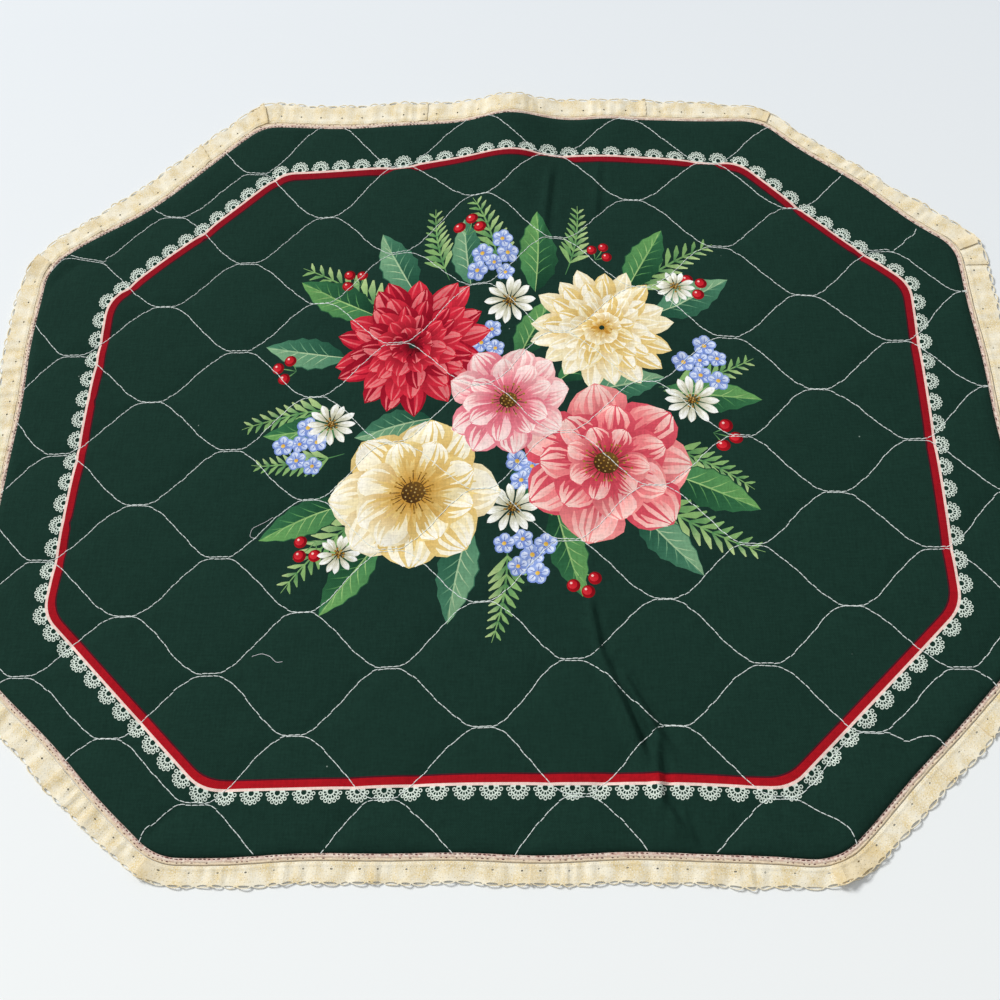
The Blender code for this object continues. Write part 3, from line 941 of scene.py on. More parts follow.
def paint_berries(x, y, angle, size):
    """Three berries on short stalks, each with a glint."""
    shade, mid, light, pale = TONES["berry"]
    for k in range(3):
        turn = angle + (k - 1) * 0.8
        far = size * (2.3 + 0.9 * (k % 2))
        bx, by = x + far * math.cos(turn), y + far * math.sin(turn)
        paint_stroke([(x, y), ((x + bx) / 2 + 0.5, (y + by) / 2), (bx, by)], 0.6,
                     TONES["stem"][1], TONES["stem"][2])
        paint_dot(bx, by, size, mid, shade, 14)
        paint_dot(bx - size * 0.15, by + size * 0.15, size * 0.68, light, mid, 12)
        paint_dot(bx - size * 0.35, by + size * 0.38, size * 0.2, pale, pale, 6)


def paint_small_flower(x, y, radius, angle):
    """A five-petalled blue flower with a yellow eye."""
    shade, mid, light, pale = TONES["blue"]
    for k in range(5):
        turn = angle + 2 * math.pi * k / 5
        c, s = math.cos(turn), math.sin(turn)
        px, py = x + radius * 0.52 * c, y + radius * 0.52 * s
        paint_dot(px, py, radius * 0.5, mid, light, 10)
        paint_dot(px + 0.1 * radius * c, py + 0.1 * radius * s, radius * 0.3, light, pale, 8)
        paint_stroke([(x, y), (px, py), (x + 0.8 * radius * c, y + 0.8 * radius * s)],
                     0.35, shade, mid)
    paint_dot(x, y, radius * 0.2, "#F5DC7A", "#D89A2C", 8)


def paint_posy():
    """A plain round posy of mixed garden flowers, leaves, ferns and berries."""
    rng = random.Random(POSY_SEED)
    cx, cy = POSY_CENTRE
    for x, y, degrees, length, curve in FRONDS:
        paint_frond(cx + x, cy + y, math.radians(degrees), length, curve, TONES["stem"])
    for x, y, degrees, length, width, tone in LEAVES:
        paint_leaf(cx + x, cy + y, math.radians(degrees), length, width, TONES[tone],
                   rng.uniform(-0.1, 0.1))
    for x, y, degrees, size in BERRY_SPRAYS:
        paint_berries(cx + x, cy + y, math.radians(degrees), size)
    for x, y, count, reach in BLUE_CLUSTERS:
        for k in range(count):
            turn, far = 2.4 * k + x, reach * math.sqrt((k + 0.4) / count) * 1.15
            paint_small_flower(cx + x + far * math.cos(turn), cy + y + far * math.sin(turn),
                               rng.uniform(4.2, 5.4), turn)
    for x, y, radius in DAISIES:
        paint_open_flower(cx + x, cy + y, radius, TONES["white"], rng, 12, 1, width=0.3)
    paint_full_flower(cx - 40, cy + 34, 36, TONES["red"], rng, 5)
    paint_full_flower(cx + 46, cy + 38, 32, TONES["cream"], rng, 5)
    paint_open_flower(cx - 36, cy - 40, 36, TONES["cream"], rng, 8, 2)
    paint_open_flower(cx + 46, cy - 30, 38, TONES["coral"], rng, 7, 3, ruffle=0.1)
    paint_open_flower(cx + 4, cy + 2, 28, TONES["pink"], rng, 9, 2, width=0.6)


# ---- the panel ---------------------------------------------------------------------------------
GRID_PITCH = 3.1        # between the points of the bare cloth
UNDER_PITCH = 12.0      # the same for the underside
GRID_HALF = (224.0, 192.0)      # how far the grids reach along x and y
RIM_POINTS = 520        # round the edge


def inside_outline(outline, x, y):
    """Whether places lie inside a closed outline, counting how often a ray crosses it."""
    xa, ya = outline[:, 0], outline[:, 1]
    xb, yb = np.roll(xa, -1), np.roll(ya, -1)
    slope = (xb - xa) / np.where(yb == ya, 1.0, yb - ya)
    beyond = x[:, None] < xa + slope * (y[:, None] - ya)
    crossed = ((ya > y[:, None]) != (yb > y[:, None])) & beyond
    return crossed.sum(axis=1) % 2 == 1


def near_outline(outline, x, y):
    """Numbers of the places in the outline's bounding box."""
    low, high = outline.min(axis=0), outline.max(axis=0)
    return np.nonzero((x > low[0]) & (x < high[0]) & (y > low[1]) & (y < high[1]))[0]


def visible_lines(outlines):
    """The stretches of all outlines that no later outline covers, as pairs of points."""
    starts = np.concatenate(outlines)
    ends = np.concatenate([np.roll(outline, -1, axis=0) for outline in outlines])
    owner = np.repeat(np.arange(len(outlines)), [len(outline) for outline in outlines])
    hidden = np.zeros(len(starts), bool)
    for number, outline in enumerate(outlines):
        found = near_outline(outline, starts[:, 0], starts[:, 1])
        found = found[owner[found] < number]
        covered = inside_outline(outline, *starts[found].T) & inside_outline(outline, *ends[found].T)
        hidden[found[covered]] = True
    return np.stack([starts[~hidden], ends[~hidden]], axis=1)


def last_cover(outlines, x, y):
    """One more than the number of the last outline that each place lies inside, or 0 for none."""
    cover = np.zeros(len(x), int)
    for number, outline in enumerate(outlines):
        found = near_outline(outline, x, y)
        cover[found[inside_outline(outline, x[found], y[found])]] = number + 1
    return cover


def cut_plane(outline, lines=(), points=()):
    """Triangles of the plane inside an outline, cut along lines.

    Gives the places, the triangles and the numbers of the outline's own places.
    """
    places, edges = list(outline), []
    for line in lines:
        edges += [(k, k + 1) for k in range(len(places), len(places) + len(line) - 1)]
        places += list(line)
    places += list(points)
    flat = [Vector((float(x), float(y))) for x, y in places]
    rim = list(range(len(outline)))
    found, _, triangles, sources, _, covers = delaunay_2d_cdt(flat, edges, [rim], 0, 1e-4, True)
    place_of = {source: number for number, group in enumerate(sources) for source in group}
    kept = [triangle for triangle, cover in zip(triangles, covers) if cover]
    return np.array([tuple(place) for place in found]), kept, [place_of[number] for number in rim]


def even_grid(pitch, margin):
    """Points in a honeycomb grid inside the panel's edge."""
    half_width, half_depth = GRID_HALF
    rows = np.arange(-half_depth, half_depth, pitch * math.sqrt(0.75))
    columns = np.arange(-half_width, half_width, pitch)
    x = np.array([columns + (pitch / 2.0) * (i % 2) for i in range(len(rows))])
    y = np.repeat(rows[:, None], len(columns), axis=1)
    kept = inside_edge(x, y) > margin
    return np.stack([x[kept], y[kept]], axis=-1)


def without_loose(points, faces, *lists):
    """The points that a face uses, and the faces and lists with the points' new numbers."""
    used = sorted({corner for face in faces for corner in face})
    number = {old: new for new, old in enumerate(used)}
    faces = [tuple(number[corner] for corner in face) for face in faces]
    return points[used], faces, *([number[old] for old in numbers] for numbers in lists)


def print_colours(corners, covers):
    """Linear colour of each triangle's three corners, shaded along its mark."""
    near = np.array([channels(mark[1]) for mark in marks])
    far = np.array([channels(mark[2]) for mark in marks])
    start, end = (np.stack(laid(*np.array([mark[k] for mark in marks]).T), axis=-1) for k in (3, 4))
    way = end - start
    way = way / np.maximum((way ** 2).sum(axis=-1, keepdims=True), 1e-9)
    share = ((corners - start[covers][:, None]) * way[covers][:, None]).sum(axis=-1)
    share = np.clip(share, 0.0, 1.0)[..., None]
    return decoded(near[covers][:, None] * (1.0 - share) + far[covers][:, None] * share)


def make_panel(finish):
    """The quilted panel: printed top, turned edge and plain underside in one closed skin."""
    paint_border()
    paint_posy()
    walk = np.arange(RIM_POINTS) * EDGE_LENGTH / RIM_POINTS
    _, top_inset = EDGE_STEPS[TOP_STEP]
    outline = np.stack(beside_edge(walk, -top_inset), axis=-1)
    # The top is cut along the print and the quilting, so that each triangle has one mark's colour.
    areas = [np.stack(laid(*np.array(mark[0]).T), axis=-1) for mark in marks[1:]]
    margin = top_inset + 1.0
    lines = [*visible_lines(areas), *quilting_runs(steps_per_column=16, margin=margin)]
    extra = [place for place in crease_points() if inside_edge(*place) > margin]
    grid = [*even_grid(GRID_PITCH, top_inset + 1.4), *extra]
    places, faces, rim = without_loose(*cut_plane(outline, lines, grid))
    points = np.column_stack([places, read_map(RELIEF, *places.T)])
    normals = read_map(NORMALS, *places.T)
    corners = places[np.array(faces)]
    colours = print_colours(corners, last_cover(areas, *corners.mean(axis=1).T))
    top_faces, top_points = len(faces), len(points)

    # The rounded edge goes down ring by ring.
    ring = rim
    for height, inset in EDGE_STEPS[TOP_STEP - 1::-1]:
        x, y = beside_edge(walk, -inset)
        low = len(points)
        points = np.vstack([points, np.column_stack([x, y, lift(x, y) + height])])
        below = list(range(low, low + RIM_POINTS))
        for k in range(RIM_POINTS):
            after = (k + 1) % RIM_POINTS
            faces.append((ring[after], ring[k], below[k], below[after]))
        ring = below

    # The underside closes the lowest ring.
    lowest = np.stack(beside_edge(walk, -EDGE_STEPS[0][1]), axis=-1)
    places, triangles, under_rim = cut_plane(lowest, points=even_grid(UNDER_PITCH, margin=3.0))
    low = len(points)
    points = np.vstack([points, np.column_stack([places, lift(*places.T)])])
    number = {place: low + place for place in range(len(places))}
    number.update(zip(under_rim, ring))
    faces += [tuple(number[corner] for corner in reversed(triangle)) for triangle in triangles]

    points, faces = without_loose(points, faces)
    panel = object_from("quilted_panel_print", points, faces, finish=finish)
    mesh = panel.data
    print_layer = mesh.color_attributes.new("print", "FLOAT_COLOR", "CORNER")
    values = np.tile(np.array(linear(GROUND)), (len(mesh.loops), 1))
    values[:3 * top_faces, :3] = colours.reshape(-1, 3)
    print_layer.data.foreach_set("color", values.ravel())
    # The top is shaded by the relief's own slopes, which are finer than its triangles.
    smooth_normals = [tuple(vertex.normal) for vertex in mesh.vertices]
    on_rim = set(rim)
    for k in range(top_points):
        if k not in on_rim:
            smooth_normals[k] = tuple(normals[k])
    mesh.normals_split_custom_set_from_vertices(smooth_normals)
    return panel


# ---- stitches ----------------------------------------------------------------------------------

def stitch_nodes():
    """A row of short bowed stitches along each line of a mesh."""
    tree, given = nodes_tree("row_of_stitches", (
        ("Float", "Stitch length", "Gap", "Thickness", "Share that shows", "Unevenness"),
        ("Int", "Seed"), ("Material", "Thread"),
    ))

    # One stitch: a short bow of thread, thin at both ends where it enters the cloth.
    half = add_node(tree, "ShaderNodeMath", {0: given["Stitch length"], 1: 0.5}, operation="MULTIPLY")
    back = add_node(tree, "ShaderNodeMath", {0: half, 1: -1.0}, operation="MULTIPLY")
    radius = add_node(tree, "ShaderNodeMath", {0: given["Thickness"], 1: 0.5}, operation="MULTIPLY")
    sunk = add_node(tree, "ShaderNodeMath", {0: radius, 1: -0.5}, operation="MULTIPLY")
    crown = add_node(tree, "ShaderNodeMath", {0: radius, 1: 1.3}, operation="MULTIPLY")
    start = add_node(tree, "ShaderNodeCombineXYZ", {0: back, 2: sunk})
    middle = add_node(tree, "ShaderNodeCombineXYZ", {2: crown})
    end = add_node(tree, "ShaderNodeCombineXYZ", {0: half, 2: sunk})
    bow = add_node(tree, "GeometryNodeCurveQuadraticBezier",
                   {"Resolution": 5, "Start": start, "Middle": middle, "End": end})
    place = add_node(tree, "GeometryNodeSplineParameter")
    bulge = add_node(tree, "ShaderNodeMapRange", {0: place, 1: 0.0, 2: 1.0, 3: 0.0, 4: math.pi})
    swell = add_node(tree, "ShaderNodeMath", {0: bulge}, operation="SINE")
    full = add_node(tree, "ShaderNodeMapRange", {0: swell, 1: 0.0, 2: 0.8, 3: 0.7, 4: 1.0})
    tapered = add_node(tree, "GeometryNodeSetCurveRadius", {"Curve": bow, "Radius": full})
    across = add_node(tree, "GeometryNodeCurvePrimitiveCircle", {"Resolution": 5, "Radius": radius})
    stitch = add_node(tree, "GeometryNodeCurveToMesh",
                      {"Curve": tapered, "Profile Curve": across, "Scale": full, "Fill Caps": True})

    # The row: one stitch to each even step along the line, turned along it.
    pitch = add_node(tree, "ShaderNodeMath", {0: given["Stitch length"], 1: given["Gap"]})
    line = add_node(tree, "GeometryNodeMeshToCurve", {"Mesh": given["Geometry"]})
    steps = add_node(tree, "GeometryNodeResampleCurve", {"Curve": line, "Length": pitch}, mode="LENGTH")
    along = add_node(tree, "GeometryNodeInputTangent")
    turn = add_node(tree, "FunctionNodeAlignRotationToVector", {"Vector": along}, axis="X")
    least = add_node(tree, "ShaderNodeMath", {0: 1.0, 1: given["Unevenness"]}, operation="SUBTRACT")
    size = add_node(tree, "FunctionNodeRandomValue", {2: least, 3: 1.06, 8: given["Seed"]},
                    data_type="FLOAT")
    shown = add_node(tree, "FunctionNodeRandomValue",
                     {6: given["Share that shows"], 8: given["Seed"]}, data_type="BOOLEAN")
    scale = add_node(tree, "ShaderNodeCombineXYZ", {0: size.outputs[1], 1: 1.0, 2: 1.0})
    row = add_node(tree, "GeometryNodeInstanceOnPoints",
                   {"Points": steps, "Selection": shown.outputs[3], "Instance": stitch,
                    "Rotation": turn, "Scale": scale})
    real = add_node(tree, "GeometryNodeRealizeInstances", {"Geometry": row})
    smooth_row = add_node(tree, "GeometryNodeSetShadeSmooth", {"Geometry": real})
    dyed = add_node(tree, "GeometryNodeSetMaterial",
                    {"Geometry": smooth_row, "Material": given["Thread"]})
    add_node(tree, "NodeGroupOutput", {0: dyed})
    return tree


def rows_of_stitches(name, tree, runs, length, gap, thick, share, uneven, seed, thread):
    """Stitches along lines given as arrays of points in millimetres."""
    edges, count = [], 0
    for run in runs:
        edges += [(k, k + 1) for k in range(count, count + len(run) - 1)]
        count += len(run)
    carrier = object_from(name, np.concatenate(runs), edges=edges)
    return run_nodes(carrier, tree, {
        "Stitch length": length * MM, "Gap": gap * MM, "Thickness": thick * MM,
        "Share that shows": share, "Unevenness": uneven, "Seed": seed, "Thread": thread})


def on_cloth(cloth, run, over):
    """A line laid on the panel's mesh, a little over it."""
    heights = []
    for x, y in run:
        place, *_ = cloth.ray_cast(Vector((x * MM, y * MM, 0.05)), Vector((0.0, 0.0, -1.0)))
        heights.append(place.z / MM if place else heights[-1])
    return np.column_stack([run, np.array(heights) + over])


def thread_tube(points, thick, sides=5):
    """Points and faces of a thin thread along a line, closed at both ends."""
    radius = thick / 2.0
    ways = np.gradient(points, axis=0)
    ways /= np.linalg.norm(ways, axis=1, keepdims=True)
    beside = np.cross(ways, (0.0, 0.0, 1.0))
    beside /= np.linalg.norm(beside, axis=1, keepdims=True)
    above = np.cross(beside, ways)
    turns = np.arange(sides) * 2.0 * math.pi / sides
    rings = (points[:, None] + radius * (np.cos(turns)[None, :, None] * beside[:, None]
                                         + np.sin(turns)[None, :, None] * above[:, None]))
    faces = [tuple(range(sides)), tuple(range(len(points) * sides - 1, (len(points) - 1) * sides - 1, -1))]
    for k in range(len(points) - 1):
        for side in range(sides):
            after = (side + 1) % sides
            faces.append((k * sides + after, k * sides + side, (k + 1) * sides + side,
                          (k + 1) * sides + after))
    return rings.reshape(-1, 3), faces


def even_path(corners, step=0.7):
    """A path through a few places in even short steps, its bends a little rounded."""
    corners = np.array(corners)
    lengths = np.concatenate([[0.0], np.cumsum(np.linalg.norm(np.diff(corners, axis=0), axis=1))])
    steps = np.linspace(0.0, lengths[-1], int(lengths[-1] / step) + 2)
    path = np.stack([np.interp(steps, lengths, column) for column in corners.T], axis=-1)
    for _ in range(2):
        path[1:-1] = (path[:-2] + 2.0 * path[1:-1] + path[2:]) / 4.0
    return path


def strayed(runs):
    """The runs of quilting, those that stray at their end led along their own places."""
    for places in STRAYS:
        # The line is the one that comes nearest to the first place, and that ends near the last.
        start, end = np.array(places[0]), np.array(places[-1])
        number = min(range(len(runs)), key=lambda k: (
            np.linalg.norm(runs[k] - start, axis=1).min()
            + 0.3 * min(math.dist(runs[k][0], end), math.dist(runs[k][-1], end))))
        run = runs[number]
        near = int(np.linalg.norm(run - start, axis=1).argmin())
        if near < len(run) - near:
            run, near = run[::-1], len(run) - 1 - near
        runs[number] = np.concatenate([run[:near], even_path(places)])
    return runs


def make_quilting(tree, thread, panel):
    """The quilting lines in white thread, and two threads that lie loose on the cloth."""
    cloth = BVHTree.FromObject(panel, bpy.context.evaluated_depsgraph_get())
    lines = strayed(quilting_runs(steps_per_column=24, margin=0.3))
    runs = [on_cloth(cloth, line, STITCH_OVER) for line in lines]
    quilting = rows_of_stitches("quilting_stitches", tree, runs, STITCH_LENGTH, STITCH_GAP,
                                STITCH_THICK, share=1.0, uneven=0.1, seed=5, thread=thread)
    joined = bmesh.new()
    joined.from_mesh(quilting.data)
    for places in LOOSE_THREADS:
        points, faces = thread_tube(on_cloth(cloth, even_path(places), LOOSE_OVER), LOOSE_THICK)
        loose = object_from("loose_thread", points, faces, finish=thread)
        joined.from_mesh(loose.data)
        remove(loose)
    joined.to_mesh(quilting.data)
    joined.free()
    return quilting


# ---- lace heading ------------------------------------------------------------------------------

def make_heading(finish):
    """Flat woven strip along the seam, with two rolled ribs."""
    count = HEADING_STEPS
    walk = np.arange(count) * EDGE_LENGTH / count
    rings = []
    for number, (out, height) in enumerate(HEADING_PROFILE):
        wander = sum(far * np.sin(walk * pace + turn * number) for far, pace, turn in HEADING_WANDER)
        wander = wander * (HEADING_WANDERING[0] < out < HEADING_WANDERING[1])
        x, y = beside_edge(walk, out + wander)
        swell, pace, turn = HEADING_SWELL
        rise = height * (1.0 + swell * np.sin(walk * pace + turn * number))
        rings.append(np.column_stack([x, y, lift(x, y) + rise]))
    points = np.concatenate(rings)
    faces = []
    for side in range(len(rings)):
        beside = (side + 1) % len(rings)
        for k in range(count):
            after = (k + 1) % count
            faces.append((side * count + k, beside * count + k,
                          beside * count + after, side * count + after))
    strip = object_from("heading_strip", points, faces, finish=finish)
    outward = np.repeat([out for out, _ in HEADING_PROFILE], count)
    strip.data.attributes.new("outward", "FLOAT", "POINT").data.foreach_set("value", outward)
    return strip


def make_dashes(tree, thread):
    """The rows of wine-brown stitches of the heading: close, few on the right and none on top."""
    joined = bmesh.new()
    for out, height, length, gap, share, seed, start, end in DASH_ROWS:
        walk = np.arange(start, end, 0.8)
        x, y = beside_edge(walk, out + 0.08 * np.sin(walk * 0.9))
        run = np.column_stack([x, y, lift(x, y) + height])
        row = rows_of_stitches("row", tree, [run], length, gap, DASH_THICK, share, uneven=0.5,
                               seed=seed, thread=thread)
        joined.from_mesh(row.data)
        remove(row)
    dashes = object_from("heading_dashes", [], finish=thread)
    joined.to_mesh(dashes.data)
    joined.free()
    return dashes


# ---- lace frill --------------------------------------------------------------------------------

def lace_repeat(finish):
    """One flat repeat of the lace as a thin closed net, open at the two sides that meet the next."""
    sides = np.linspace(0.0, FRILL_WIDTH, 9)
    rises = [(t, PICOT_RISE * math.sin(math.pi * t) ** 0.6) for t in (0.0, 0.14, 0.32, 0.5, 0.68, 0.86)]
    outline = [(x, 0.0) for x in np.linspace(0.0, REPEAT, 9)]
    outline += [(REPEAT, y) for y in sides[1:-1]]
    outline += [(REPEAT * (1.0 - (half + t) / 2.0), FRILL_WIDTH + rise) for half in (0, 1)
                for t, rise in rises]
    outline += [(0.0, y) for y in sides[:0:-1]]
    shapes = [*LACE_HOLES, *((x, y, PINHOLE, PINHOLE) for x, y in PINHOLES)]
    holes = []
    for x, y, half_width, half_height in shapes:
        count = 12 if half_width > 1.0 else 8 if half_width > 0.4 else 5
        turns = [2.0 * math.pi * (k + 0.5) / count for k in range(count)]
        holes.append(np.array([(x + half_width * math.cos(turn), y + half_height * math.sin(turn))
                               for turn in turns]))
    grid = [(x, y) for x in np.arange(0.6, REPEAT, 1.17) for y in np.arange(0.1, 8.1, 1.2)
            if all(math.hypot((x - hx) / (hw + 0.25), (y - hy) / (hh + 0.25)) > 1.0
                   for hx, hy, hw, hh in shapes)]
    places, triangles, _ = cut_plane(outline, visible_lines(holes), grid)
    middles = places[np.array(triangles)].mean(axis=1)
    triangles = [triangle for triangle, cover in zip(triangles, last_cover(holes, *middles.T))
                 if cover == 0]
    count = len(places)
    low = np.column_stack([places, np.full(count, -LACE_THICK / 2.0)])
    high = np.column_stack([places, np.full(count, LACE_THICK / 2.0)])
    faces = [tuple(corner + count for corner in triangle) for triangle in triangles]
    faces += [tuple(reversed(triangle)) for triangle in triangles]
    sides = [(triangle[i], triangle[(i + 1) % 3]) for triangle in triangles for i in range(3)]
    paired = set(sides)
    for a, b in sides:
        on_join = any(abs(places[a][0] - x) < 1e-3 and abs(places[b][0] - x) < 1e-3
                      for x in (0.0, REPEAT))
        if (b, a) not in paired and not on_join:
            faces.append((a, b, b + count, a + count))
    return object_from("lace_repeat", np.vstack([low, high]), faces, finish=finish)


def lace_nodes():
    """Repeats of a flat lace in a row, laid on the surface of a gathered drape."""
    tree, given = nodes_tree("lace_on_drape", (
        ("Object", "Drape"), ("Int", "Repeats"), ("Float", "Repeat length", "Strip width"),
        ("Material", "Lace"),
    ))

    # The flat strip: repeats side by side, their open sides merged.
    step = add_node(tree, "ShaderNodeCombineXYZ", {0: given["Repeat length"]})
    line = add_node(tree, "GeometryNodeMeshLine", {"Count": given["Repeats"], "Offset": step})
    row = add_node(tree, "GeometryNodeInstanceOnPoints",
                   {"Points": line, "Instance": given["Geometry"]})
    real = add_node(tree, "GeometryNodeRealizeInstances", {"Geometry": row})
    joined = add_node(tree, "GeometryNodeMergeByDistance", {"Geometry": real, "Distance": 2e-6})

    # Each place of the strip as shares of its length and width, which the drape's points carry.
    count = add_node(tree, "ShaderNodeMath",
                     {0: given["Repeats"], 1: given["Repeat length"]}, operation="MULTIPLY")
    place = add_node(tree, "GeometryNodeInputPosition")
    parts = add_node(tree, "ShaderNodeSeparateXYZ", {0: place})
    along = add_node(tree, "ShaderNodeMath", {0: parts.outputs[0], 1: count}, operation="DIVIDE")
    across = add_node(tree, "ShaderNodeMath",
                      {0: parts.outputs[1], 1: given["Strip width"]}, operation="DIVIDE")
    spot = add_node(tree, "ShaderNodeCombineXYZ", {0: along, 1: across})
    drape = add_node(tree, "GeometryNodeObjectInfo", {"Object": given["Drape"]}).outputs["Geometry"]
    strip = add_node(tree, "GeometryNodeInputNamedAttribute", {"Name": "strip"},
                     data_type="FLOAT_VECTOR")
    upward = add_node(tree, "GeometryNodeInputNormal")
    layers = add_node(tree, "GeometryNodeInputNamedAttribute", {"Name": "doubled"},
                      data_type="FLOAT")
    surface, facing, doubled = (
        add_node(tree, "GeometryNodeSampleUVSurface",
                 {"Mesh": drape, "Value": value, "UV Map": strip, "Sample UV": spot}, data_type=kind)
        for value, kind in ((place, "FLOAT_VECTOR"), (upward, "FLOAT_VECTOR"), (layers, "FLOAT")))

    # The strip laid on the drape, with the drape's number of layers noted for the finish.
    raised = add_node(tree, "ShaderNodeVectorMath", {0: facing, "Scale": parts.outputs[2]},
                      operation="SCALE")
    target = add_node(tree, "ShaderNodeVectorMath", {0: surface, 1: raised}, operation="ADD")
    noted = add_node(tree, "GeometryNodeStoreNamedAttribute",
                     {"Geometry": joined, "Name": "doubled", "Value": doubled},
                     data_type="FLOAT", domain="POINT")
    gathered = add_node(tree, "GeometryNodeSetPosition", {"Geometry": noted, "Position": target})
    # The edge is walked anticlockwise, which mirrors the repeat, so its faces are turned outwards.
    turned_out = add_node(tree, "GeometryNodeFlipFaces", {"Mesh": gathered})
    flat_shaded = add_node(tree, "GeometryNodeSetShadeSmooth",
                           {"Geometry": turned_out, "Shade Smooth": False})
    dyed = add_node(tree, "GeometryNodeSetMaterial",
                    {"Geometry": flat_shaded, "Material": given["Lace"]})
    add_node(tree, "NodeGroupOutput", {0: dyed})
    return tree


def pleated_walk(strip):
    """Place along the edge and number of layers underneath for places along the lace strip.

    The strip starts at its join and doubles back in a deep pleat at each corner and a small one
    here and there.
    """
    strip_at, edge_at, layers = [0.0], [0.0], [0.0]
    pleats = [((middle - JOIN_AT) % EDGE_LENGTH, CORNER_PLEAT) for middle in CORNER_MIDDLES]
    pleats += [((place - JOIN_AT) % EDGE_LENGTH, SMALL_PLEAT) for place in SMALL_PLEATS]
    for place, (depth, rise, way_down) in sorted(pleats):
        spent = strip_at[-1] + (place + depth / 2.0 - edge_at[-1])
        strip_at += [spent, spent + depth, spent + depth + way_down]
        edge_at += [place + depth / 2.0, place - depth / 2.0, place - depth / 2.0 + way_down]
        layers += [0.0, rise, 0.0]
    rest = EDGE_LENGTH + JOIN_LENGTH - edge_at[-1]
    strip_at.append(strip_at[-1] + rest)
    edge_at.append(edge_at[-1] + rest)
    layers.append(0.0)
    along = np.interp(strip, strip_at, edge_at)
    for _ in range(2):
        along = np.convolve(np.pad(along, 1, mode="edge"), (0.25, 0.5, 0.25), mode="valid")
    return along, np.interp(strip, strip_at, layers), strip_at[-1]


def gather(along):
    """Height of the frill's loose edge over the table."""
    waves = round(EDGE_LENGTH / GATHER_LENGTH)
    drift, times = GATHER_DRIFT
    slow = np.sin(2.0 * math.pi * times * along / EDGE_LENGTH)
    turn = 2.0 * math.pi * waves * along / EDGE_LENGTH
    full = GATHER_HEIGHT + CORNER_FULLNESS * corner_share(along)
    return full * (0.5 + 0.5 * np.sin(turn + drift * slow))


def pucker(along):
    """The short creases that the gathering leaves, from -1 to 1."""
    turn = 2.0 * math.pi * round(EDGE_LENGTH / PUCKER_LENGTH) * along / EDGE_LENGTH
    slow = 2.0 * math.pi * along / EDGE_LENGTH
    strength = 0.6 + 0.4 * np.sin(31.0 * slow) * np.sin(17.0 * slow + 1.0)
    return strength * np.sin(sum((size * np.sin(times * slow) for size, times in PUCKER_DRIFTS), turn))


def make_frill(tree, finish):
    """Gathered lace round the heading, pleated at the corners and lapped where its ends meet."""
    _, _, length = pleated_walk(np.array([0.0, 1.0, 2.0]))
    repeats = round(length / REPEAT)
    steps, rows = FRILL_STEPS, FRILL_ROWS
    strip = np.linspace(0.0, length, steps + 1)
    walk, layers, _ = pleated_walk(strip)
    lapped = smooth((walk - EDGE_LENGTH + JOIN_SLOPE) / JOIN_SLOPE)
    along = JOIN_AT + walk
    wide = FRILL_WIDTH + PICOT_RISE + 0.1
    points = []
    for row in range(rows):
        share = row / (rows - 1)
        reach = np.interp(along, *zip(*LACE_REACH), period=EDGE_LENGTH) + 0.2 * pucker(along)
        reach = sum((size * np.sin(along * pace + start) for size, pace, start in REACH_WAVES), reach)
        sway = share * (0.5 * np.sin(along * 0.45 + 2.0 * np.sin(along * 0.05)) + 0.4 * pucker(along))
        x, y = beside_edge(along + sway, FRILL_START + (wide + reach) * share)
        creased = PUCKER_HEIGHT * pucker(along) * math.sin(math.pi * min(0.15 + share, 1.0)) ** 0.5
        height = (LACE_BASE + gather(along) * share ** 1.4 + np.maximum(creased, -0.25 - 0.8 * share)
                  + (0.2 if row == 1 else 0.0) + PLEAT_RISE * layers + JOIN_RISE * lapped)
        points.append(np.column_stack([x, y, lift(x, y) + np.maximum(height, LACE_LOWEST)]))
    points = np.concatenate(points)
    across = steps + 1
    faces = [(row * across + k, row * across + k + across, row * across + k + across + 1,
              row * across + k + 1) for row in range(rows - 1) for k in range(steps)]
    drape = object_from("lace_drape", points, faces)
    spots = np.zeros((len(points), 3))
    spots[:, 0] = np.tile(np.linspace(0.0, 1.0, across), rows)
    spots[:, 1] = np.repeat(np.linspace(0.0, 1.0, rows), across)
    drape.data.attributes.new("strip", "FLOAT_VECTOR", "POINT").data.foreach_set(
        "vector", spots.ravel())
    drape.data.attributes.new("doubled", "FLOAT", "POINT").data.foreach_set(
        "value", np.tile(np.clip(layers / 2.0 + lapped, 0.0, 1.0), rows))
    frill = lace_repeat(finish)
    run_nodes(frill, tree, {"Drape": drape, "Repeats": repeats, "Repeat length": REPEAT * MM,
                            "Strip width": wide * MM, "Lace": finish})
    remove(drape)
    frill.name = "gathered_lace"
    shell = bmesh.new()
    shell.from_mesh(frill.data)
    bmesh.ops.holes_fill(shell, edges=[edge for edge in shell.edges if edge.is_boundary])
    shell.to_mesh(frill.data)
    shell.free()
    return frill, length


# ---- finishes ----------------------------------------------------------------------------------

def new_finish(name, roughness, sheen=0.0, gloss=0.3):
    """A material with its tree, its shader and the object coordinates in millimetres."""
    made = bpy.data.materials.new(name)
    made.use_nodes = True
    tree = made.node_tree
    shader = tree.nodes["Principled BSDF"]
    shader.inputs["Roughness"].default_value = roughness
    shader.inputs["Sheen Weight"].default_value = sheen
    shader.inputs["Specular IOR Level"].default_value = gloss
    place = add_node(tree, "ShaderNodeTexCoord").outputs["Object"]
    scaled = add_node(tree, "ShaderNodeVectorMath", {0: place, "Scale": 1.0 / MM}, operation="SCALE")
    return made, tree, shader, scaled.outputs[0]


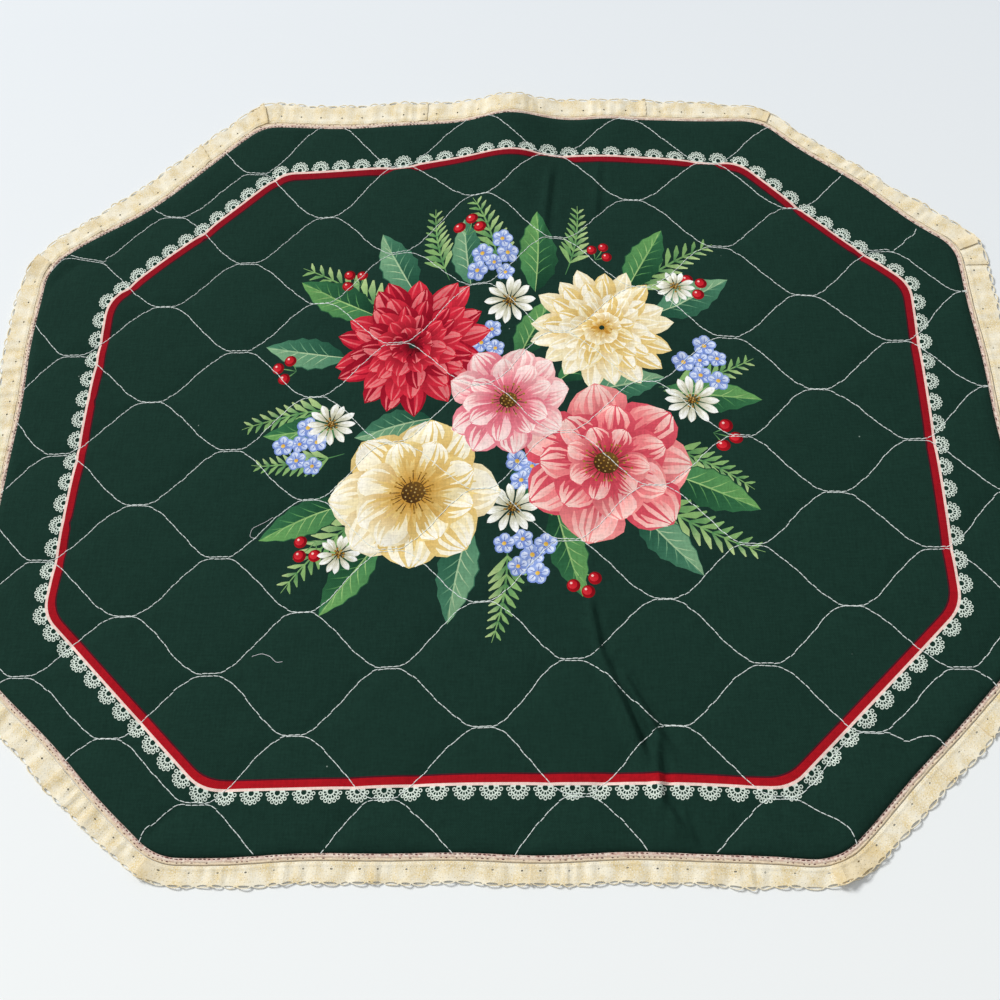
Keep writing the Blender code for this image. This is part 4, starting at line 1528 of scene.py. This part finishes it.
def printed_cotton():
    """Plain-weave cotton printed with pigment: matt, with slubs, faint mottling and some lint."""
    made, tree, shader, place = new_finish("printed_cotton", 0.92, gloss=0.05)
    dye = add_node(tree, "ShaderNodeAttribute", attribute_name="print")
    across = add_node(tree, "ShaderNodeMapping", {"Vector": place, "Scale": (0.16, 1.3, 1.0)})
    along = add_node(tree, "ShaderNodeMapping", {"Vector": place, "Scale": (1.3, 0.16, 1.0)})
    weft = add_node(tree, "ShaderNodeTexNoise", {"Vector": across, "Scale": 1.0, "Detail": 3.0})
    warp = add_node(tree, "ShaderNodeTexNoise", {"Vector": along, "Scale": 1.0, "Detail": 3.0})
    slubs = add_node(tree, "ShaderNodeMath", {0: weft, 1: warp}, operation="ADD")
    speckle = add_node(tree, "ShaderNodeTexNoise", {"Vector": place, "Scale": 1.1, "Detail": 2.0})
    threads = add_node(tree, "ShaderNodeMath", {0: slubs, 1: speckle}, operation="ADD")
    tone = add_node(tree, "ShaderNodeMapRange", {0: threads, 1: 1.05, 2: 1.95, 3: 0.82, 4: 1.18})
    dyed = add_node(tree, "ShaderNodeVectorMath", {0: dye, "Scale": tone}, operation="SCALE")
    fluff = add_node(tree, "ShaderNodeTexVoronoi", {"Vector": place, "Scale": 0.045})
    is_fluff = add_node(tree, "ShaderNodeMapRange",
                        {0: fluff.outputs["Distance"], 1: 0.008, 2: 0.018, 3: 0.55, 4: 0.0})
    linted = add_node(tree, "ShaderNodeMix",
                      {0: is_fluff.outputs[0], 6: dyed, 7: linear("#AFC0B4")},
                      data_type="RGBA")
    tree.links.new(linted.outputs[2], shader.inputs["Base Color"])
    # The real threads are 0.3 mm apart, too fine to show, so the weave is drawn at 0.8 mm.
    turns = 2.0 * math.pi / 0.8
    parts = add_node(tree, "ShaderNodeSeparateXYZ", {0: place})
    ridge_x = add_node(tree, "ShaderNodeMath", {0: parts.outputs[0], 1: turns}, operation="MULTIPLY")
    ridge_y = add_node(tree, "ShaderNodeMath", {0: parts.outputs[1], 1: turns}, operation="MULTIPLY")
    over = add_node(tree, "ShaderNodeMath", {0: ridge_x}, operation="SINE")
    under = add_node(tree, "ShaderNodeMath", {0: ridge_y}, operation="SINE")
    weave = add_node(tree, "ShaderNodeMath", {0: over, 1: under}, operation="MULTIPLY")
    rough = add_node(tree, "ShaderNodeMath", {0: threads, 1: 2.0}, operation="MULTIPLY")
    height = add_node(tree, "ShaderNodeMath", {0: weave, 1: rough}, operation="ADD")
    bump = add_node(tree, "ShaderNodeBump", {"Height": height, "Strength": 0.35, "Distance": 0.00008})
    tree.links.new(bump.outputs[0], shader.inputs["Normal"])
    return made


def spun_thread(name, colour, shade):
    """Two-ply sewing thread: matt, with painted shade darkening the grooves where the plies turn."""
    made, tree, shader, place = new_finish(name, 0.75, 0.15)
    twist = add_node(tree, "ShaderNodeTexNoise", {"Vector": place, "Scale": 1.6, "Detail": 2.0})
    # The shade colour is painted shade in the ply grooves, following the same noise as the bump.
    tone = add_node(tree, "ShaderNodeMix",
                    {0: twist.outputs[0], 6: linear(shade), 7: linear(colour)},
                    data_type="RGBA")
    tree.links.new(tone.outputs[2], shader.inputs["Base Color"])
    bump = add_node(tree, "ShaderNodeBump", {"Height": twist, "Strength": 0.4, "Distance": 0.0001})
    tree.links.new(bump.outputs[0], shader.inputs["Normal"])
    return made


def woven_ribbon():
    """Cotton ribbon dyed a little by the thread beside the panel, and ecru beside the lace."""
    made, tree, shader, place = new_finish("woven_ribbon", 0.85, 0.1)
    patch = add_node(tree, "ShaderNodeTexNoise", {"Vector": place, "Scale": 0.9, "Detail": 4.0})
    spread = add_node(tree, "ShaderNodeMapRange", {0: patch, 1: 0.35, 2: 0.65})
    tone = add_node(tree, "ShaderNodeMix",
                    {0: spread.outputs[0], 6: linear("#D2AC9C"), 7: linear("#F8E8D6")},
                    data_type="RGBA")
    outward = add_node(tree, "ShaderNodeAttribute", attribute_name="outward")
    beside = add_node(tree, "ShaderNodeMapRange", {0: outward.outputs["Fac"], 1: 1.0, 2: 2.2, 4: 0.8})
    tone = add_node(tree, "ShaderNodeMix",
                    {0: beside.outputs[0], 6: tone.outputs[2], 7: linear("#F0DDB8")},
                    data_type="RGBA")
    ribs = add_node(tree, "ShaderNodeTexNoise", {"Vector": place, "Scale": 2.2, "Detail": 2.0})
    shaded = add_node(tree, "ShaderNodeMapRange", {0: ribs, 1: 0.3, 2: 0.7, 3: 0.78, 4: 1.08})
    final = add_node(tree, "ShaderNodeVectorMath", {0: tone.outputs[2], "Scale": shaded},
                     operation="SCALE")
    tree.links.new(final.outputs[0], shader.inputs["Base Color"])
    bump = add_node(tree, "ShaderNodeBump", {"Height": ribs, "Strength": 0.5, "Distance": 0.0002})
    tree.links.new(bump.outputs[0], shader.inputs["Normal"])
    return made


def cotton_lace():
    """Raschel-knitted cotton net: ecru, yellower and darker in patches, fuzzy."""
    made, tree, shader, place = new_finish("cotton_lace", 0.9, 0.15)
    patch = add_node(tree, "ShaderNodeTexNoise", {"Vector": place, "Scale": 0.16, "Detail": 4.0})
    spread = add_node(tree, "ShaderNodeMapRange", {0: patch, 1: 0.36, 2: 0.64})
    yarn_tone = add_node(tree, "ShaderNodeMix",
                         {0: spread.outputs[0], 6: linear("#E7D19D"),
                          7: linear("#F8EED3")}, data_type="RGBA")
    # The real meshes are 0.8 mm wide, too fine to cut: they are drawn in the tone of pale cloth.
    mesh = add_node(tree, "ShaderNodeTexVoronoi", {"Vector": place, "Scale": 1.2},
                    feature="DISTANCE_TO_EDGE")
    open_mesh = add_node(tree, "ShaderNodeMapRange", {0: mesh, 1: 0.06, 2: 0.26, 3: 0.0, 4: 0.7})
    netted = add_node(tree, "ShaderNodeMix",
                      {0: open_mesh.outputs[0], 6: yarn_tone.outputs[2],
                       7: linear("#F6F0DE")}, data_type="RGBA")
    layers = add_node(tree, "ShaderNodeAttribute", attribute_name="doubled")
    dense = add_node(tree, "ShaderNodeMath", {0: layers.outputs["Fac"], 1: 0.5}, operation="MULTIPLY")
    tone = add_node(tree, "ShaderNodeMix",
                    {0: dense, 6: netted.outputs[2], 7: linear("#E2C892")}, data_type="RGBA")
    yarn = add_node(tree, "ShaderNodeTexNoise", {"Vector": place, "Scale": 1.7, "Detail": 3.0})
    shaded = add_node(tree, "ShaderNodeMapRange", {0: yarn, 1: 0.3, 2: 0.7, 3: 0.92, 4: 1.05})
    final = add_node(tree, "ShaderNodeVectorMath", {0: tone.outputs[2], "Scale": shaded},
                     operation="SCALE")
    tree.links.new(final.outputs[0], shader.inputs["Base Color"])
    bump = add_node(tree, "ShaderNodeBump", {"Height": yarn, "Strength": 0.5, "Distance": 0.0002})
    tree.links.new(bump.outputs[0], shader.inputs["Normal"])
    return made


def studio_paper():
    """Matt pale paper under the mat, with painted shade that darkens it a little towards the back."""
    made, tree, shader, place = new_finish("studio_paper", 0.95)
    parts = add_node(tree, "ShaderNodeSeparateXYZ", {0: place})
    # Painted shade: the paper's colour darkens towards the back.
    back = add_node(tree, "ShaderNodeMapRange", {0: parts.outputs[1], 1: 260.0, 2: -220.0})
    tone = add_node(tree, "ShaderNodeMix",
                    {0: back.outputs[0], 6: linear("#E6EAEC"), 7: linear("#F6F8F6")},
                    data_type="RGBA")
    tree.links.new(tone.outputs[2], shader.inputs["Base Color"])
    return made


# ---- studio ------------------------------------------------------------------------------------
CAMERA_PLACE = (35.82, -251.27, 434.73)
CAMERA_LOOK = (-0.06384, 0.44529, -0.89311)
CAMERA_UP = (0.01898, 0.89531, 0.44503)
CAMERA_LENS = 41.4
FLOOR_HALF = 1500.0
FLOOR_DROP = 0.02       # how far the floor lies under the mat
SKY_STRENGTH = 0.47
WINDOW_PLACE = (-3.6, 2.8, 3.9)     # in metres, high on the left behind the mat
WINDOW_SIZE = 1.6       # in metres
WINDOW_POWER = 310.0    # in watts


def make_camera():
    """The camera, which stands over the near edge and looks down at the mat."""
    lens = bpy.data.cameras.new("camera")
    lens.lens = CAMERA_LENS
    lens.sensor_width = 36.0
    lens.clip_start = 0.01
    camera = bpy.data.objects.new("camera", lens)
    back = -Vector(CAMERA_LOOK).normalized()
    right = Vector(CAMERA_UP).cross(back).normalized()
    up = back.cross(right)
    turn = Matrix((right, up, back)).transposed().to_4x4()
    camera.matrix_world = Matrix.Translation(Vector(CAMERA_PLACE) * MM) @ turn
    bpy.context.scene.collection.objects.link(camera)
    bpy.context.scene.camera = camera


def make_window():
    """A square soft white light that looks at the mat's middle."""
    lamp = bpy.data.lights.new("window", "AREA")
    lamp.size = WINDOW_SIZE
    lamp.energy = WINDOW_POWER
    light = bpy.data.objects.new("window", lamp)
    light.location = WINDOW_PLACE
    light.rotation_euler = (-Vector(WINDOW_PLACE)).to_track_quat("-Z", "Y").to_euler()
    bpy.context.scene.collection.objects.link(light)


def make_studio():
    """The paper floor, an even pale sky and the window."""
    scene = bpy.context.scene
    scene.view_settings.view_transform = "Standard"
    half = FLOOR_HALF
    corners = [(-half, -half, 0.0), (half, -half, 0.0), (half, half, 0.0), (-half, half, 0.0)]
    floor = object_from("studio_floor", corners, [(0, 1, 2, 3)], finish=studio_paper())
    floor.location.z = -FLOOR_DROP * MM
    world = bpy.data.worlds.new("studio")
    world.use_nodes = True
    air = world.node_tree.nodes["Background"]
    air.inputs["Color"].default_value = linear("#F2F5FA")
    air.inputs["Strength"].default_value = SKY_STRENGTH
    scene.world = world
    make_window()


# ---- everything --------------------------------------------------------------------------------

def main():
    """The pieces on the root body, with the solids they cover hidden, and the studio."""
    cotton = printed_cotton()
    white_thread = spun_thread("white_thread", "#FBFEFA", "#D3DFD7")
    wine_thread = spun_thread("wine_thread", "#7C4040", "#4A2424")
    ribbon = woven_ribbon()
    lace = cotton_lace()
    stitches = stitch_nodes()

    panel = make_panel(cotton)
    quilting = make_quilting(stitches, white_thread, panel)
    heading = make_heading(ribbon)
    dashes = make_dashes(stitches, wine_thread)
    frill, strip_length = make_frill(lace_nodes(), lace)

    for piece in (panel, quilting, heading, dashes, frill):
        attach(piece, "root")
    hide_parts("quilted_panel")
    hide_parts("lace_heading")
    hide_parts("lace_frill")

    make_camera()
    make_studio()


main()
